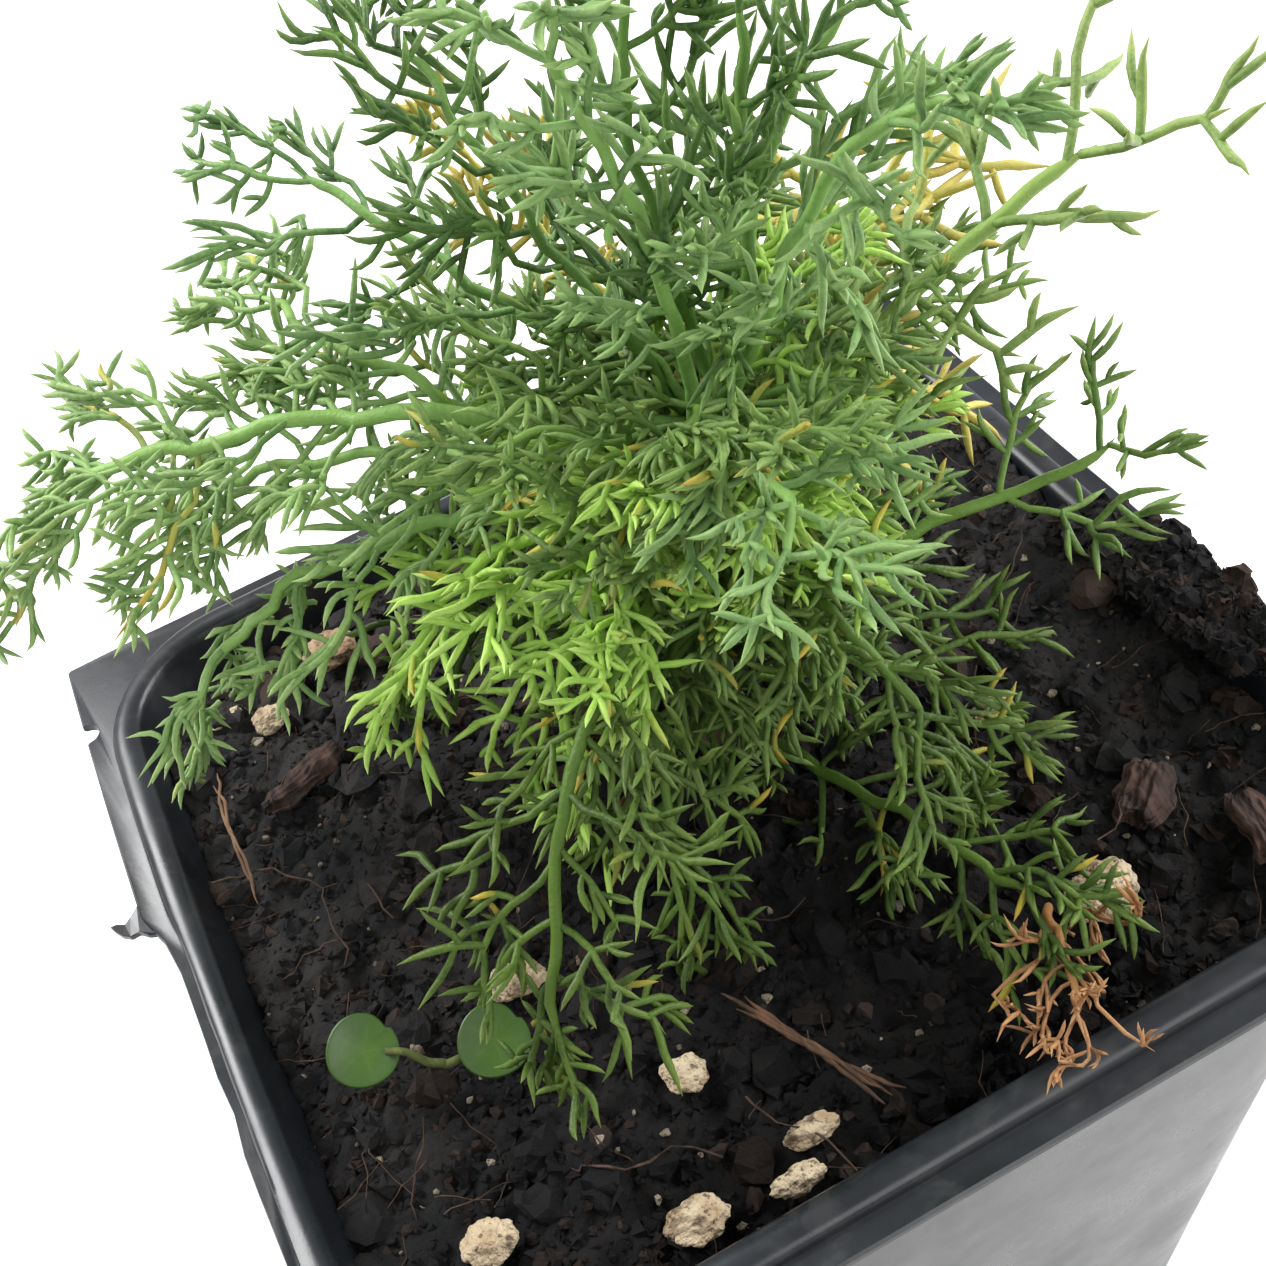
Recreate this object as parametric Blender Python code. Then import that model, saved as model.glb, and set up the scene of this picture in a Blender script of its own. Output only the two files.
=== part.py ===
"""Potted chamomile: a young feathery plant in a square plastic nursery pot.

The frame stands on the pot: origin at the middle of its underside, +Z up, metres.
"""
import math

import bmesh
import bpy
from mathutils import Matrix, Vector, noise

MM = 0.001

# Pot
POT_WIDTH = 0.090            # across the flat flange
POT_HEIGHT = 0.082           # underside to the top of the rim bead
BASE_WIDTH = 0.058           # across the underside
WALL = 0.001
FLOOR = 0.0012
FLANGE = 0.0020              # flat width outside the bead
FLANGE_THICKNESS = 0.0008
FLANGE_DROP = 0.0012         # bead top down to the flange
BEAD_WIDTH = 0.0030
CORNER_RADIUS = 0.010        # inside corner, constant down the wall
FLANGE_CORNER = 0.0008       # the flange's own outer corners are nearly sharp
LEFT_BOW = 0.0010            # the left side bulges by this much at the rim
CORNER_STEPS = 5
DRAIN_DIAMETER = 0.008
DRAIN_OFFSET = 0.015         # each drain hole's distance from the middle, along X and Y

# Soil
SOIL_DEPTH = 0.0045          # rim down to the soil along the front and left
SOIL_MOUND = 0.0035          # rise under the plant
SOIL_BANK = 0.0040           # rise towards the right-hand and back walls
SOIL_CELLS = 12
CLEARANCE = 0.0003           # between pieces that touch
LUMPINESS = 0.25
UNDERSIDE = 0.15             # how much of a grain's depth its flattened lower half keeps

# Plant
STEM_BASE = Vector((3, 0, 0)) * MM           # on the soil
STEM_TOP = Vector((8, -3, 34)) * MM          # above the rim centre
STEM_BASE_RADIUS = 0.0021
STEM_TOP_RADIUS = 0.0012
LEAF_BASE_RADIUS = 0.00075
LEAF_TIP_RADIUS = 0.00030
LEAF_POINTS = 8
PINNA_LENGTH = 0.0065
PINNA_RADIUS = 0.00042
PINNA_TIP_RADIUS = 0.00012
PINNA_SLANT = math.radians(50)               # between a pinna and the leaf's midrib
PINNA_END = 0.94                             # share of the midrib where the last one grows
PINNA_SHORTENING = 0.4                       # share of its length that the last one loses

# Leaves, listed from the foot of the stem to its top: name, share of the stem's height
# where it grows, tip in mm from the rim centre, arch and sideways bow in mm, pairs of
# pinnae, share of its length that is bare, and its state.
LEAVES = [
    ("leaf_lower_right", 0.07, (13, -34, 4), -1, 1, 4, 0.45, "green"),
    ("leaf_dried_curl", 0.12, (-9, -3, 12), 0, 1, 0, 1.0, "dead"),
    ("leaf_back_low", 0.17, (-6, 33, 15), 5, 2, 4, 0.5, "green"),
    ("leaf_yellow_low", 0.20, (27, 9, 17), 6, 0, 3, 0.55, "yellow"),
    ("leaf_left_under", 0.25, (-15, 9, 13), 4, 0, 3, 0.55, "green"),
    ("leaf_right_low", 0.27, (16, -16, 9), 5, 0, 3, 0.55, "green"),
    ("leaf_yellow_back", 0.35, (35, 9, 37), 3, 4, 3, 0.6, "yellow"),
    ("leaf_front_low", 0.40, (-7, -18, 6), 6, -2, 3, 0.55, "green"),
    ("leaf_right", 0.45, (36, -11, 20), -4, 1, 3, 0.55, "green"),
    ("leaf_back", 0.44, (16, 31, 29), 6, 2, 4, 0.5, "green"),
    ("leaf_back_right", 0.50, (31, 24, 24), 9, 0, 4, 0.5, "green"),
    ("leaf_front_right", 0.52, (11, -21, 16), 4, 0, 3, 0.55, "green"),
    ("leaf_upper_right_under", 0.57, (32, 5, 29), 3, -2, 3, 0.6, "green"),
    ("leaf_left_middle", 0.60, (-27, 22, 26), 7, 0, 4, 0.55, "green"),
    ("leaf_front_hanging", 0.62, (-23, -28, 3), 12, -1, 5, 0.5, "green"),
    ("leaf_upper_right", 0.68, (46, -6, 41), 3, 1, 4, 0.6, "green"),
    ("leaf_bright_left", 0.70, (-19, 4, 17), 5, 0, 3, 0.6, "green"),
    ("leaf_upper_left_under", 0.73, (-16, 29, 37), 3, 3, 4, 0.5, "green"),
    ("leaf_front_near", 0.77, (1, -28, 37), 5, 3, 3, 0.6, "green"),
    ("leaf_left_low", 0.79, (-36, 18, 10), 8, 0, 4, 0.55, "green"),
    ("leaf_top_right", 0.83, (21, -5, 57), 4, 2, 4, 0.5, "green"),
    ("leaf_bright_centre", 0.86, (-11, -7, 14), 6, 0, 4, 0.55, "green"),
    ("leaf_upper_left", 0.87, (-13, 29, 48), 1, -2, 5, 0.45, "green"),
    ("leaf_left_high", 0.92, (-38, 27, 29), 5, 0, 4, 0.6, "green"),
    ("leaf_top_near", 0.90, (19, -23, 60), 7, 1, 4, 0.5, "green"),
    ("leaf_top_left", 0.94, (0, 17, 55), 4, 2, 4, 0.5, "green"),
    ("leaf_top_front", 0.96, (0, -11, 67), 4, 2, 5, 0.4, "green"),
    ("leaf_top_middle", 0.98, (12, 3, 63), 2, 2, 5, 0.4, "green"),
    ("leaf_top_inner", 1.00, (15, -6, 63), 1, -2, 4, 0.4, "green"),
]

# Lying on the soil: name, place as a share of the soil's half width, size in mm
GRAINS = [
    ("perlite_left_large", (-0.55, 0.85), (5.2, 4.2, 3.2)),
    ("perlite_left_small", (-0.76, 0.74), (3.6, 3.0, 2.0)),
    ("perlite_left_edge", (-0.86, 0.81), (3.0, 2.6, 1.8)),
    ("perlite_front_round", (-0.35, -0.66), (3.4, 3.4, 2.4)),
    ("perlite_front_corner", (-0.80, -0.76), (3.6, 3.4, 2.4)),
    ("perlite_front_big", (-0.46, -0.92), (4.0, 3.4, 2.6)),
    ("perlite_front_crescent", (-0.21, -0.88), (3.8, 2.0, 2.2)),
    ("perlite_front_oval", (-0.27, -0.95), (3.8, 2.0, 2.2)),
    ("perlite_under_leaf", (-0.54, -0.29), (4.2, 3.0, 2.2)),
    ("perlite_right_large", (0.50, -0.76), (5.4, 4.6, 3.4)),
    ("perlite_right_brown", (0.58, -0.28), (3.2, 2.8, 2.0)),
]
BARK_CHIPS = [
    ("bark_right", (0.70, -0.62), (6.0, 4.0, 1.6), 40),
    ("bark_right_corner", (0.82, -0.80), (6.5, 3.0, 1.5), 75),
    ("bark_left", (-0.74, 0.50), (9.0, 2.6, 1.4), 20),
]
STRAW_RADIUS = 0.00045
STRAW_ENDS = (Vector((-0.21, -0.56)), Vector((-0.05, -0.93)))
TWIG_RADIUS = 0.00030
TWIG_ENDS = (Vector((-0.93, 0.64)), Vector((-0.94, 0.20)))

# Crumbs pushed over the right-hand rim: middle and size in mm, from the rim centre
RIM_CRUMBS_PLACE = (-9, 0)                   # along the rim, and outwards from the bead
RIM_CRUMBS_SIZE = (4.6, 20, 2.4)

# Dead leaf fallen from the plant on to the front right of the soil
FALLEN_START = Vector((0.40, -0.70))
FALLEN_END_ALONG = 0.0095                    # where its tip lies on the front rim bead
FALLEN_ARCH = 0.0015
FALLEN_PAIRS = 3
FALLEN_BARE = 0.3

# Weed seedling by the left wall
SEEDLING_ROOT = Vector((-0.74, -0.42))
SEEDLING_STALK_RADIUS = 0.00035
SEEDLING_LEAF_RADIUS = 0.0027
SEEDLING_LEAF_THICKNESS = 0.0005
SEEDLING_LEAF_TILT = math.radians(35)
SEEDLING_LEAVES = [
    ("seedling_leaf_left", Vector((-4.6, 3.2)) * MM, 0.0050),
    ("seedling_leaf_right", Vector((4.2, -0.6)) * MM, 0.0036),
]

COLOURS = {
    "pot": ((0.045, 0.05, 0.058), 0.35),
    "soil": ((0.018, 0.013, 0.010), 0.95),
    "stem": ((0.16, 0.28, 0.06), 0.55),
    "green": ((0.09, 0.24, 0.045), 0.55),
    "yellow": ((0.62, 0.46, 0.05), 0.6),
    "dead": ((0.20, 0.07, 0.03), 0.85),
    "straw": ((0.16, 0.09, 0.045), 0.85),
    "seedling": ((0.13, 0.36, 0.05), 0.5),
    "perlite": ((0.50, 0.40, 0.27), 0.9),
    "bark": ((0.13, 0.06, 0.035), 0.9),
}

RIM = Vector((0, 0, POT_HEIGHT))
INNER_TOP = POT_WIDTH / 2 - FLANGE - BEAD_WIDTH     # half width inside the rim
INNER_BASE = BASE_WIDTH / 2 - WALL
BASE_RADIUS = CORNER_RADIUS - WALL


def inner_half(z):
    """Half width inside the wall at height z."""
    share = z / POT_HEIGHT
    return INNER_BASE + (INNER_TOP - INNER_BASE) * share


def bowed(x, y, z, half):
    """Push a point of the left side outwards, most at the rim and mid-side."""
    leftness = max(0.0, -x / half)
    along = max(0.0, 1 - (y / half) ** 2)
    return x - LEFT_BOW * leftness * along * (z / POT_HEIGHT) ** 2


def section(half, radius, z):
    """Points of a rounded square at height z, anticlockwise from above."""
    points = []
    for corner in range(4):
        turn = corner * math.pi / 2
        centre = Vector((half - radius, half - radius))
        for step in range(CORNER_STEPS + 1):
            angle = step / CORNER_STEPS * math.pi / 2
            point = centre + radius * Vector((math.cos(angle), math.sin(angle)))
            x = point.x * math.cos(turn) - point.y * math.sin(turn)
            y = point.x * math.sin(turn) + point.y * math.cos(turn)
            points.append(Vector((bowed(x, y, z, half), y, z)))
        # three points along the next side let it bow
        for share in (0.25, 0.5, 0.75):
            start = Vector((half - radius, half))
            end = Vector((radius - half, half))
            point = start.lerp(end, share)
            x = point.x * math.cos(turn) - point.y * math.sin(turn)
            y = point.x * math.sin(turn) + point.y * math.cos(turn)
            points.append(Vector((bowed(x, y, z, half), y, z)))
    return points


def soil_height(x, y):
    """Top of the soil over a point, measured from the pot's underside."""
    spread = INNER_TOP
    mound = SOIL_MOUND * math.exp(-(x * x + y * y) / (0.5 * spread) ** 2)
    bank = SOIL_BANK * max(0.0, (x * 0.9 + y * 0.45) / spread) ** 2
    return POT_HEIGHT - SOIL_DEPTH + mound + min(bank, SOIL_DEPTH)


def on_soil(place):
    """World X and Y of a place given as a share of the soil's half width."""
    return place * (inner_half(POT_HEIGHT - SOIL_DEPTH) - CLEARANCE)


def make_material(name, colour, roughness):
    material = bpy.data.materials.new(name)
    material.use_nodes = True
    shader = material.node_tree.nodes["Principled BSDF"]
    shader.inputs["Base Color"].default_value = (*colour, 1)
    shader.inputs["Roughness"].default_value = roughness
    material.diffuse_color = (*colour, 1)
    return material


def add_object(name, mesh, finish, collection):
    colour, roughness = COLOURS[finish]
    mesh.name = name
    mesh.materials.clear()
    mesh.materials.append(make_material(name, colour, roughness))
    piece = bpy.data.objects.new(name, mesh)
    collection.objects.link(piece)
    return piece


def mesh_from(shape):
    mesh = bpy.data.meshes.new("mesh")
    shape.to_mesh(mesh)
    shape.free()
    return mesh


def tube_mesh(points, radii, sides_level):
    """Closed round tube along points, its caps welded to its wall."""
    curve = bpy.data.curves.new("tube", "CURVE")
    curve.dimensions = "3D"
    curve.bevel_depth = 1.0
    curve.bevel_resolution = sides_level
    curve.use_fill_caps = True
    spline = curve.splines.new("POLY")
    spline.points.add(len(points) - 1)
    for vertex, point, radius in zip(spline.points, points, radii):
        vertex.co = (*point, 1)
        vertex.radius = radius
    guide = bpy.data.objects.new("tube", curve)
    bpy.context.scene.collection.objects.link(guide)
    graph = bpy.context.evaluated_depsgraph_get()
    mesh = bpy.data.meshes.new_from_object(guide.evaluated_get(graph))
    bpy.data.objects.remove(guide)
    shape = bmesh.new()
    shape.from_mesh(mesh)
    bmesh.ops.remove_doubles(shape, verts=shape.verts, dist=1e-6)
    bmesh.ops.recalc_face_normals(shape, faces=shape.faces)
    shape.to_mesh(mesh)
    shape.free()
    return mesh


def make_pot(parts, cutters):
    outer_top = INNER_TOP + WALL
    radius = CORNER_RADIUS
    base = BASE_WIDTH / 2
    edge = POT_WIDTH / 2
    bead_edge = INNER_TOP + BEAD_WIDTH
    flange_top = POT_HEIGHT - FLANGE_DROP
    flange_under = flange_top - FLANGE_THICKNESS
    bead_shoulder = FLANGE_DROP / 2
    foot = WALL
    rings = [
        (base - foot / 2, BASE_RADIUS + WALL / 2, 0),
        (base, BASE_RADIUS + WALL, foot),
        (outer_top, radius + WALL, flange_under - WALL / 2),
        (outer_top + WALL / 2, radius + 1.5 * WALL, flange_under),
        (edge, FLANGE_CORNER, flange_under),
        (edge, FLANGE_CORNER, flange_top),
        (bead_edge, radius + BEAD_WIDTH, flange_top),
        (bead_edge - 0.1 * BEAD_WIDTH, radius + 0.9 * BEAD_WIDTH, POT_HEIGHT - bead_shoulder),
        (INNER_TOP + 0.7 * BEAD_WIDTH, radius + 0.7 * BEAD_WIDTH, POT_HEIGHT),
        (INNER_TOP + 0.3 * BEAD_WIDTH, radius + 0.3 * BEAD_WIDTH, POT_HEIGHT),
        (INNER_TOP + 0.1 * BEAD_WIDTH, radius + 0.1 * BEAD_WIDTH, POT_HEIGHT - bead_shoulder),
        (inner_half(flange_under), radius, flange_under),
        (inner_half(FLOOR), BASE_RADIUS, FLOOR),
    ]
    shape = bmesh.new()
    loops = [[shape.verts.new(point) for point in section(*ring)] for ring in rings]
    for lower, upper in zip(loops, loops[1:]):
        for index, vert in enumerate(lower):
            shape.faces.new((lower[index - 1], vert, upper[index], upper[index - 1]))
    shape.faces.new(loops[0])
    shape.faces.new(loops[-1])
    bmesh.ops.recalc_face_normals(shape, faces=shape.faces)
    pot = add_object("nursery_pot", mesh_from(shape), "pot", parts)
    for index, (side_x, side_y) in enumerate([(1, 1), (-1, 1), (-1, -1), (1, -1)]):
        hole = bmesh.new()
        bmesh.ops.create_cone(hole, cap_ends=True, segments=16, radius1=DRAIN_DIAMETER / 2,
                              radius2=DRAIN_DIAMETER / 2, depth=4 * FLOOR)
        cutter = bpy.data.objects.new(f"drain_{index}", mesh_from(hole))
        cutter.location = (side_x * DRAIN_OFFSET, side_y * DRAIN_OFFSET, FLOOR / 2)
        cutter.display_type = "WIRE"
        cutter.hide_render = True
        cutters.objects.link(cutter)
        cut = pot.modifiers.new(f"drain_{index}", "BOOLEAN")
        cut.operation = "DIFFERENCE"
        cut.object = cutter


def rounded_square(u, v, half, radius):
    """Map a point of the unit square on to a rounded square, keeping rings as rings."""
    ring = max(abs(u), abs(v))
    if ring < 1e-9:
        return Vector((0, 0))
    u, v = u / ring, v / ring
    inner = half - radius
    x, y = u * half, v * half
    over_x, over_y = abs(x) - inner, abs(y) - inner
    if over_x > 0 and over_y > 0:
        angle = math.atan2(over_y, over_x)
        x = math.copysign(inner + radius * math.cos(angle), x)
        y = math.copysign(inner + radius * math.sin(angle), y)
    return Vector((x, y)) * ring


def make_soil(parts):
    """Block of soil whose wall follows the pot's and whose top is a low mound."""
    floor = FLOOR + CLEARANCE
    shape = bmesh.new()
    bmesh.ops.create_grid(shape, x_segments=SOIL_CELLS, y_segments=SOIL_CELLS, size=1)
    top = {vert: (vert.co.x, vert.co.y) for vert in shape.verts}
    extruded = bmesh.ops.extrude_face_region(shape, geom=shape.faces[:], use_keep_orig=True)
    lower = [item for item in extruded["geom"] if isinstance(item, bmesh.types.BMVert)]
    for vert in lower:
        half = inner_half(floor) - CLEARANCE
        flat = rounded_square(vert.co.x, vert.co.y, half, BASE_RADIUS)
        vert.co = (bowed(flat.x, flat.y, floor, half), flat.y, floor)
    for vert, (u, v) in top.items():
        half = inner_half(POT_HEIGHT) - CLEARANCE
        flat = rounded_square(u, v, half, CORNER_RADIUS)
        z = soil_height(flat.x, flat.y)
        half = inner_half(z) - CLEARANCE
        flat = rounded_square(u, v, half, CORNER_RADIUS)
        vert.co = (bowed(flat.x, flat.y, z, half), flat.y, z)
    bmesh.ops.recalc_face_normals(shape, faces=shape.faces)
    add_object("potting_soil", mesh_from(shape), "soil", parts)


def stem_point(share):
    """Centre of the stem at a share of its height; it leans more as it rises."""
    foot = Vector((*STEM_BASE.xy, soil_height(*STEM_BASE.xy) + CLEARANCE))
    top = RIM + STEM_TOP
    middle = foot.lerp(top, 0.5) + Vector((-0.5, 0.5, 2)) * MM
    return foot * (1 - share) ** 2 + middle * 2 * share * (1 - share) + top * share ** 2


def stem_radius(share):
    return STEM_BASE_RADIUS + (STEM_TOP_RADIUS - STEM_BASE_RADIUS) * share


def make_stem(parts):
    shares = [step / 10 for step in range(11)]
    points = [stem_point(share) for share in shares]
    points[0] = points[0] + Vector((0, 0, SOIL_MOUND / 10))
    mesh = tube_mesh(points, [stem_radius(share) for share in shares], 2)
    add_object("main_stem", mesh, "stem", parts)


def leaf_path(share, tip, arch, bow):
    """Centreline of a leaf from just clear of the stem out to its tip, and its side."""
    end = RIM + Vector(tip) * MM
    heading = Vector((*(end - stem_point(share)).xy, 0)).normalized()
    start = stem_point(share) + heading * (stem_radius(share) + LEAF_BASE_RADIUS + CLEARANCE)
    side = Vector((-heading.y, heading.x, 0))
    middle = start.lerp(end, 0.45) + Vector((0, 0, arch * MM * 2)) + side * bow * MM * 2
    points = []
    for step in range(LEAF_POINTS + 1):
        t = step / LEAF_POINTS
        points.append(start * (1 - t) ** 2 + middle * 2 * t * (1 - t) + end * t * t)
    return points, side


def taper(count, first, last):
    return [first + (last - first) * index / (count - 1) for index in range(count)]


def pinna_shapes(points, side, pairs, bare):
    """Slender cones by turns on the two sides of a midrib, past its bare stretch."""
    shape = bmesh.new()
    last = len(points) - 1
    count = 2 * pairs
    for number in range(count):
        place = (bare + (PINNA_END - bare) * number / (count - 1)) * last
        index = min(int(place), last - 1)
        point = points[index].lerp(points[index + 1], place - index)
        along = (points[index + 1] - points[index]).normalized()
        length = PINNA_LENGTH * (1 - PINNA_SHORTENING * number / count)
        hand = 1 if number % 2 else -1
        out = (side - along * side.dot(along)).normalized() * hand
        way = along * math.cos(PINNA_SLANT) + out * math.sin(PINNA_SLANT)
        turn = way.to_track_quat("Z", "Y").to_matrix().to_4x4()
        place_at = Matrix.Translation(point + way * length / 2) @ turn
        bmesh.ops.create_cone(shape, cap_ends=True, segments=3, radius1=PINNA_RADIUS,
                              radius2=PINNA_TIP_RADIUS, depth=length, matrix=place_at)
    return mesh_from(shape)


def make_leaf(name, points, side, pairs, bare, finish, parts, cutters):
    radii = taper(len(points), LEAF_BASE_RADIUS, LEAF_TIP_RADIUS)
    leaf = add_object(name, tube_mesh(points, radii, 1), finish, parts)
    if not pairs:
        return
    pinnae = bpy.data.objects.new(f"{name}_pinnae", pinna_shapes(points, side, pairs, bare))
    pinnae.display_type = "WIRE"
    pinnae.hide_render = True
    cutters.objects.link(pinnae)
    join = leaf.modifiers.new("pinnae", "BOOLEAN")
    join.operation = "UNION"
    join.object = pinnae


def make_leaves(parts, cutters):
    for name, share, tip, arch, bow, pairs, bare, finish in LEAVES:
        points, side = leaf_path(share, tip, arch, bow)
        make_leaf(name, points, side, pairs, bare, finish, parts, cutters)


def resting_height(centre, reach):
    """Lowest height at which a flat piece clears the soil all round its footprint."""
    around = [centre + reach * Vector((math.cos(turn), math.sin(turn)))
              for turn in (step * math.pi / 4 for step in range(8))]
    return max(soil_height(*place) for place in [centre, *around]) + CLEARANCE


def lump_mesh(centre, base, size, seed):
    """Uneven dome on a flattened base, like a grain half bedded in soil."""
    shape = bmesh.new()
    bmesh.ops.create_icosphere(shape, subdivisions=2, radius=0.5)
    for vert in shape.verts:
        lump = 1 + LUMPINESS * noise.noise(vert.co * 3 + Vector((seed, 0, 0)))
        rise = max(vert.co.z * lump, vert.co.z * UNDERSIDE) + 0.5 * UNDERSIDE
        vert.co = Vector((centre.x + vert.co.x * lump * size.x,
                          centre.y + vert.co.y * lump * size.y,
                          base + rise * size.z))
    return mesh_from(shape)


def make_grains(parts):
    for index, (name, place, size) in enumerate(GRAINS):
        size = Vector(size) * MM
        centre = on_soil(Vector(place))
        base = resting_height(centre, size.x / 2)
        add_object(name, lump_mesh(centre, base, size, index), "perlite", parts)


def make_rim_crumbs(parts):
    along, out = RIM_CRUMBS_PLACE
    centre = Vector((INNER_TOP + BEAD_WIDTH / 2 + out * MM, along * MM))
    size = Vector(RIM_CRUMBS_SIZE) * MM
    crumbs = lump_mesh(centre, POT_HEIGHT + CLEARANCE, size, len(GRAINS))
    add_object("soil_on_rim", crumbs, "soil", parts)


def make_bark(parts):
    for name, place, size, turn in BARK_CHIPS:
        size = Vector(size) * MM
        centre = on_soil(Vector(place))
        shape = bmesh.new()
        bmesh.ops.create_cube(shape, size=1)
        bmesh.ops.scale(shape, vec=size, verts=shape.verts)
        for vert in shape.verts:
            if vert.co.z > 0:
                vert.co.x *= 0.8
                vert.co.y *= 0.7
        base = resting_height(centre, size.x / 2)
        bmesh.ops.rotate(shape, matrix=Matrix.Rotation(math.radians(turn), 3, "Z"),
                         verts=shape.verts)
        bmesh.ops.translate(shape, vec=(centre.x, centre.y, base + size.z / 2),
                            verts=shape.verts)
        add_object(name, mesh_from(shape), "bark", parts)


def soil_line(ends, radius, lift, count):
    """Points of a strand that lies over the soil between two places."""
    points = []
    for step in range(count):
        t = step / (count - 1)
        flat = on_soil(ends[0].lerp(ends[1], t))
        rise = radius + 2 * CLEARANCE + lift * math.sin(math.pi * t)
        points.append(Vector((flat.x, flat.y, soil_height(*flat) + rise)))
    return points


def make_fallen_leaf(parts, cutters):
    """The dead leaf lies from the soil up over the bead of the front rim."""
    flat = on_soil(FALLEN_START)
    start = Vector((*flat, soil_height(*flat) + LEAF_BASE_RADIUS + 2 * CLEARANCE))
    lift = LEAF_TIP_RADIUS + PINNA_RADIUS + CLEARANCE
    end = Vector((FALLEN_END_ALONG, -INNER_TOP - BEAD_WIDTH / 2, POT_HEIGHT + lift))
    points = []
    for step in range(LEAF_POINTS + 1):
        t = step / LEAF_POINTS
        arch = Vector((0, 0, FALLEN_ARCH * math.sin(math.pi * t)))
        points.append(start.lerp(end, t) + arch)
    heading = (end - start).normalized()
    side = Vector((-heading.y, heading.x, 0)).normalized()
    make_leaf("leaf_fallen_dead", points, side, FALLEN_PAIRS, FALLEN_BARE, "dead", parts, cutters)


def make_litter(parts, cutters):
    straw = soil_line(STRAW_ENDS, STRAW_RADIUS, 0, 6)
    add_object("straw", tube_mesh(straw, [STRAW_RADIUS] * 6, 1), "straw", parts)
    twig = soil_line(TWIG_ENDS, TWIG_RADIUS, 0.001, 7)
    add_object("twig", tube_mesh(twig, [TWIG_RADIUS] * 7, 1), "straw", parts)
    make_fallen_leaf(parts, cutters)


def make_seedling(parts):
    root = on_soil(SEEDLING_ROOT)
    ground = soil_height(*root)
    foot = Vector((root.x, root.y, ground + 2 * CLEARANCE))
    ends = []
    for name, offset, height in SEEDLING_LEAVES:
        centre = Vector((root.x + offset.x, root.y + offset.y, ground + height))
        shape = bmesh.new()
        bmesh.ops.create_cone(shape, cap_ends=True, segments=14, radius1=SEEDLING_LEAF_RADIUS,
                              radius2=SEEDLING_LEAF_RADIUS, depth=SEEDLING_LEAF_THICKNESS)
        tilt = Matrix.Rotation(SEEDLING_LEAF_TILT, 4, "X")
        bmesh.ops.transform(shape, matrix=Matrix.Translation(centre) @ tilt, verts=shape.verts)
        add_object(name, mesh_from(shape), "seedling", parts)
        away = Vector((*offset.normalized(), 0))
        ends.append(centre - away * (SEEDLING_LEAF_RADIUS + SEEDLING_STALK_RADIUS + CLEARANCE))
    fork = foot + Vector((0, 0, 0.6 * SEEDLING_LEAVES[1][2]))
    points = [ends[0], fork.lerp(ends[0], 0.4), fork, fork.lerp(ends[1], 0.5), ends[1]]
    stalk = tube_mesh(points, [SEEDLING_STALK_RADIUS] * len(points), 1)
    add_object("seedling_stalk", stalk, "seedling", parts)


def new_collection(name):
    collection = bpy.data.collections.new(name)
    bpy.context.scene.collection.children.link(collection)
    return collection


def main():
    for old in list(bpy.data.objects):
        bpy.data.objects.remove(old)
    parts = new_collection("potted_chamomile")
    cutters = new_collection("cutters")
    make_pot(parts, cutters)
    make_soil(parts)
    make_stem(parts)
    make_leaves(parts, cutters)
    make_grains(parts)
    make_rim_crumbs(parts)
    make_bark(parts)
    make_litter(parts, cutters)
    make_seedling(parts)


main()
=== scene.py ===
"""Looks of a potted chamomile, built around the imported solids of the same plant.

Run as a script it builds every piece. Each piece also has its own operator, and the
sizes and colours that a user would change are properties of the scene.
"""
import math

import bmesh
import bpy
import numpy as np
from bpy.props import FloatProperty, FloatVectorProperty, IntProperty, PointerProperty
from bpy.types import Operator, Panel, PropertyGroup
from mathutils import Matrix, Quaternion, Vector, noise
from mathutils.bvhtree import BVHTree


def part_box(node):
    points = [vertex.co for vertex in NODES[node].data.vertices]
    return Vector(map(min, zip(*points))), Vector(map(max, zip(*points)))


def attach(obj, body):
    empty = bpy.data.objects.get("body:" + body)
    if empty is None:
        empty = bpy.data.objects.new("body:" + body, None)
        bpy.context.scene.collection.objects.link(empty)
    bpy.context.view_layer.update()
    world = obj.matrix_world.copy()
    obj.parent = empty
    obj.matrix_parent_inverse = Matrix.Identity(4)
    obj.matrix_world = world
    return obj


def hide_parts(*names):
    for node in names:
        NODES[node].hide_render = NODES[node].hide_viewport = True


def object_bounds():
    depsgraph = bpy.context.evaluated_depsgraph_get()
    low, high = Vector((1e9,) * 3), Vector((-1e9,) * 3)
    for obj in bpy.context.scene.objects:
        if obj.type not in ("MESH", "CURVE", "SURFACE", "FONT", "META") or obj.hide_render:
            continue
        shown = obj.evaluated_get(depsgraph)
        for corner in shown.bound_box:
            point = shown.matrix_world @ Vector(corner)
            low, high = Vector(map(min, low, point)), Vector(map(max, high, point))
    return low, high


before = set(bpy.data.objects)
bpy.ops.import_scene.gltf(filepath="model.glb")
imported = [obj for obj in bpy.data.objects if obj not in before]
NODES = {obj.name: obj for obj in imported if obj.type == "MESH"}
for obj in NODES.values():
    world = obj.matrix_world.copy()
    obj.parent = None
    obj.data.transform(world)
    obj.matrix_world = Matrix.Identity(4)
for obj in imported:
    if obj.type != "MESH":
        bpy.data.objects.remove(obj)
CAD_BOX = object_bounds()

bl_info = {
    "name": "Potted Chamomile",
    "version": (1, 0, 0),
    "blender": (4, 5, 0),
    "location": "View3D > Sidebar > Chamomile",
    "description": "Builds the looks of a potted chamomile piece by piece",
    "category": "Add Mesh",
}

MM = 0.001

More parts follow.
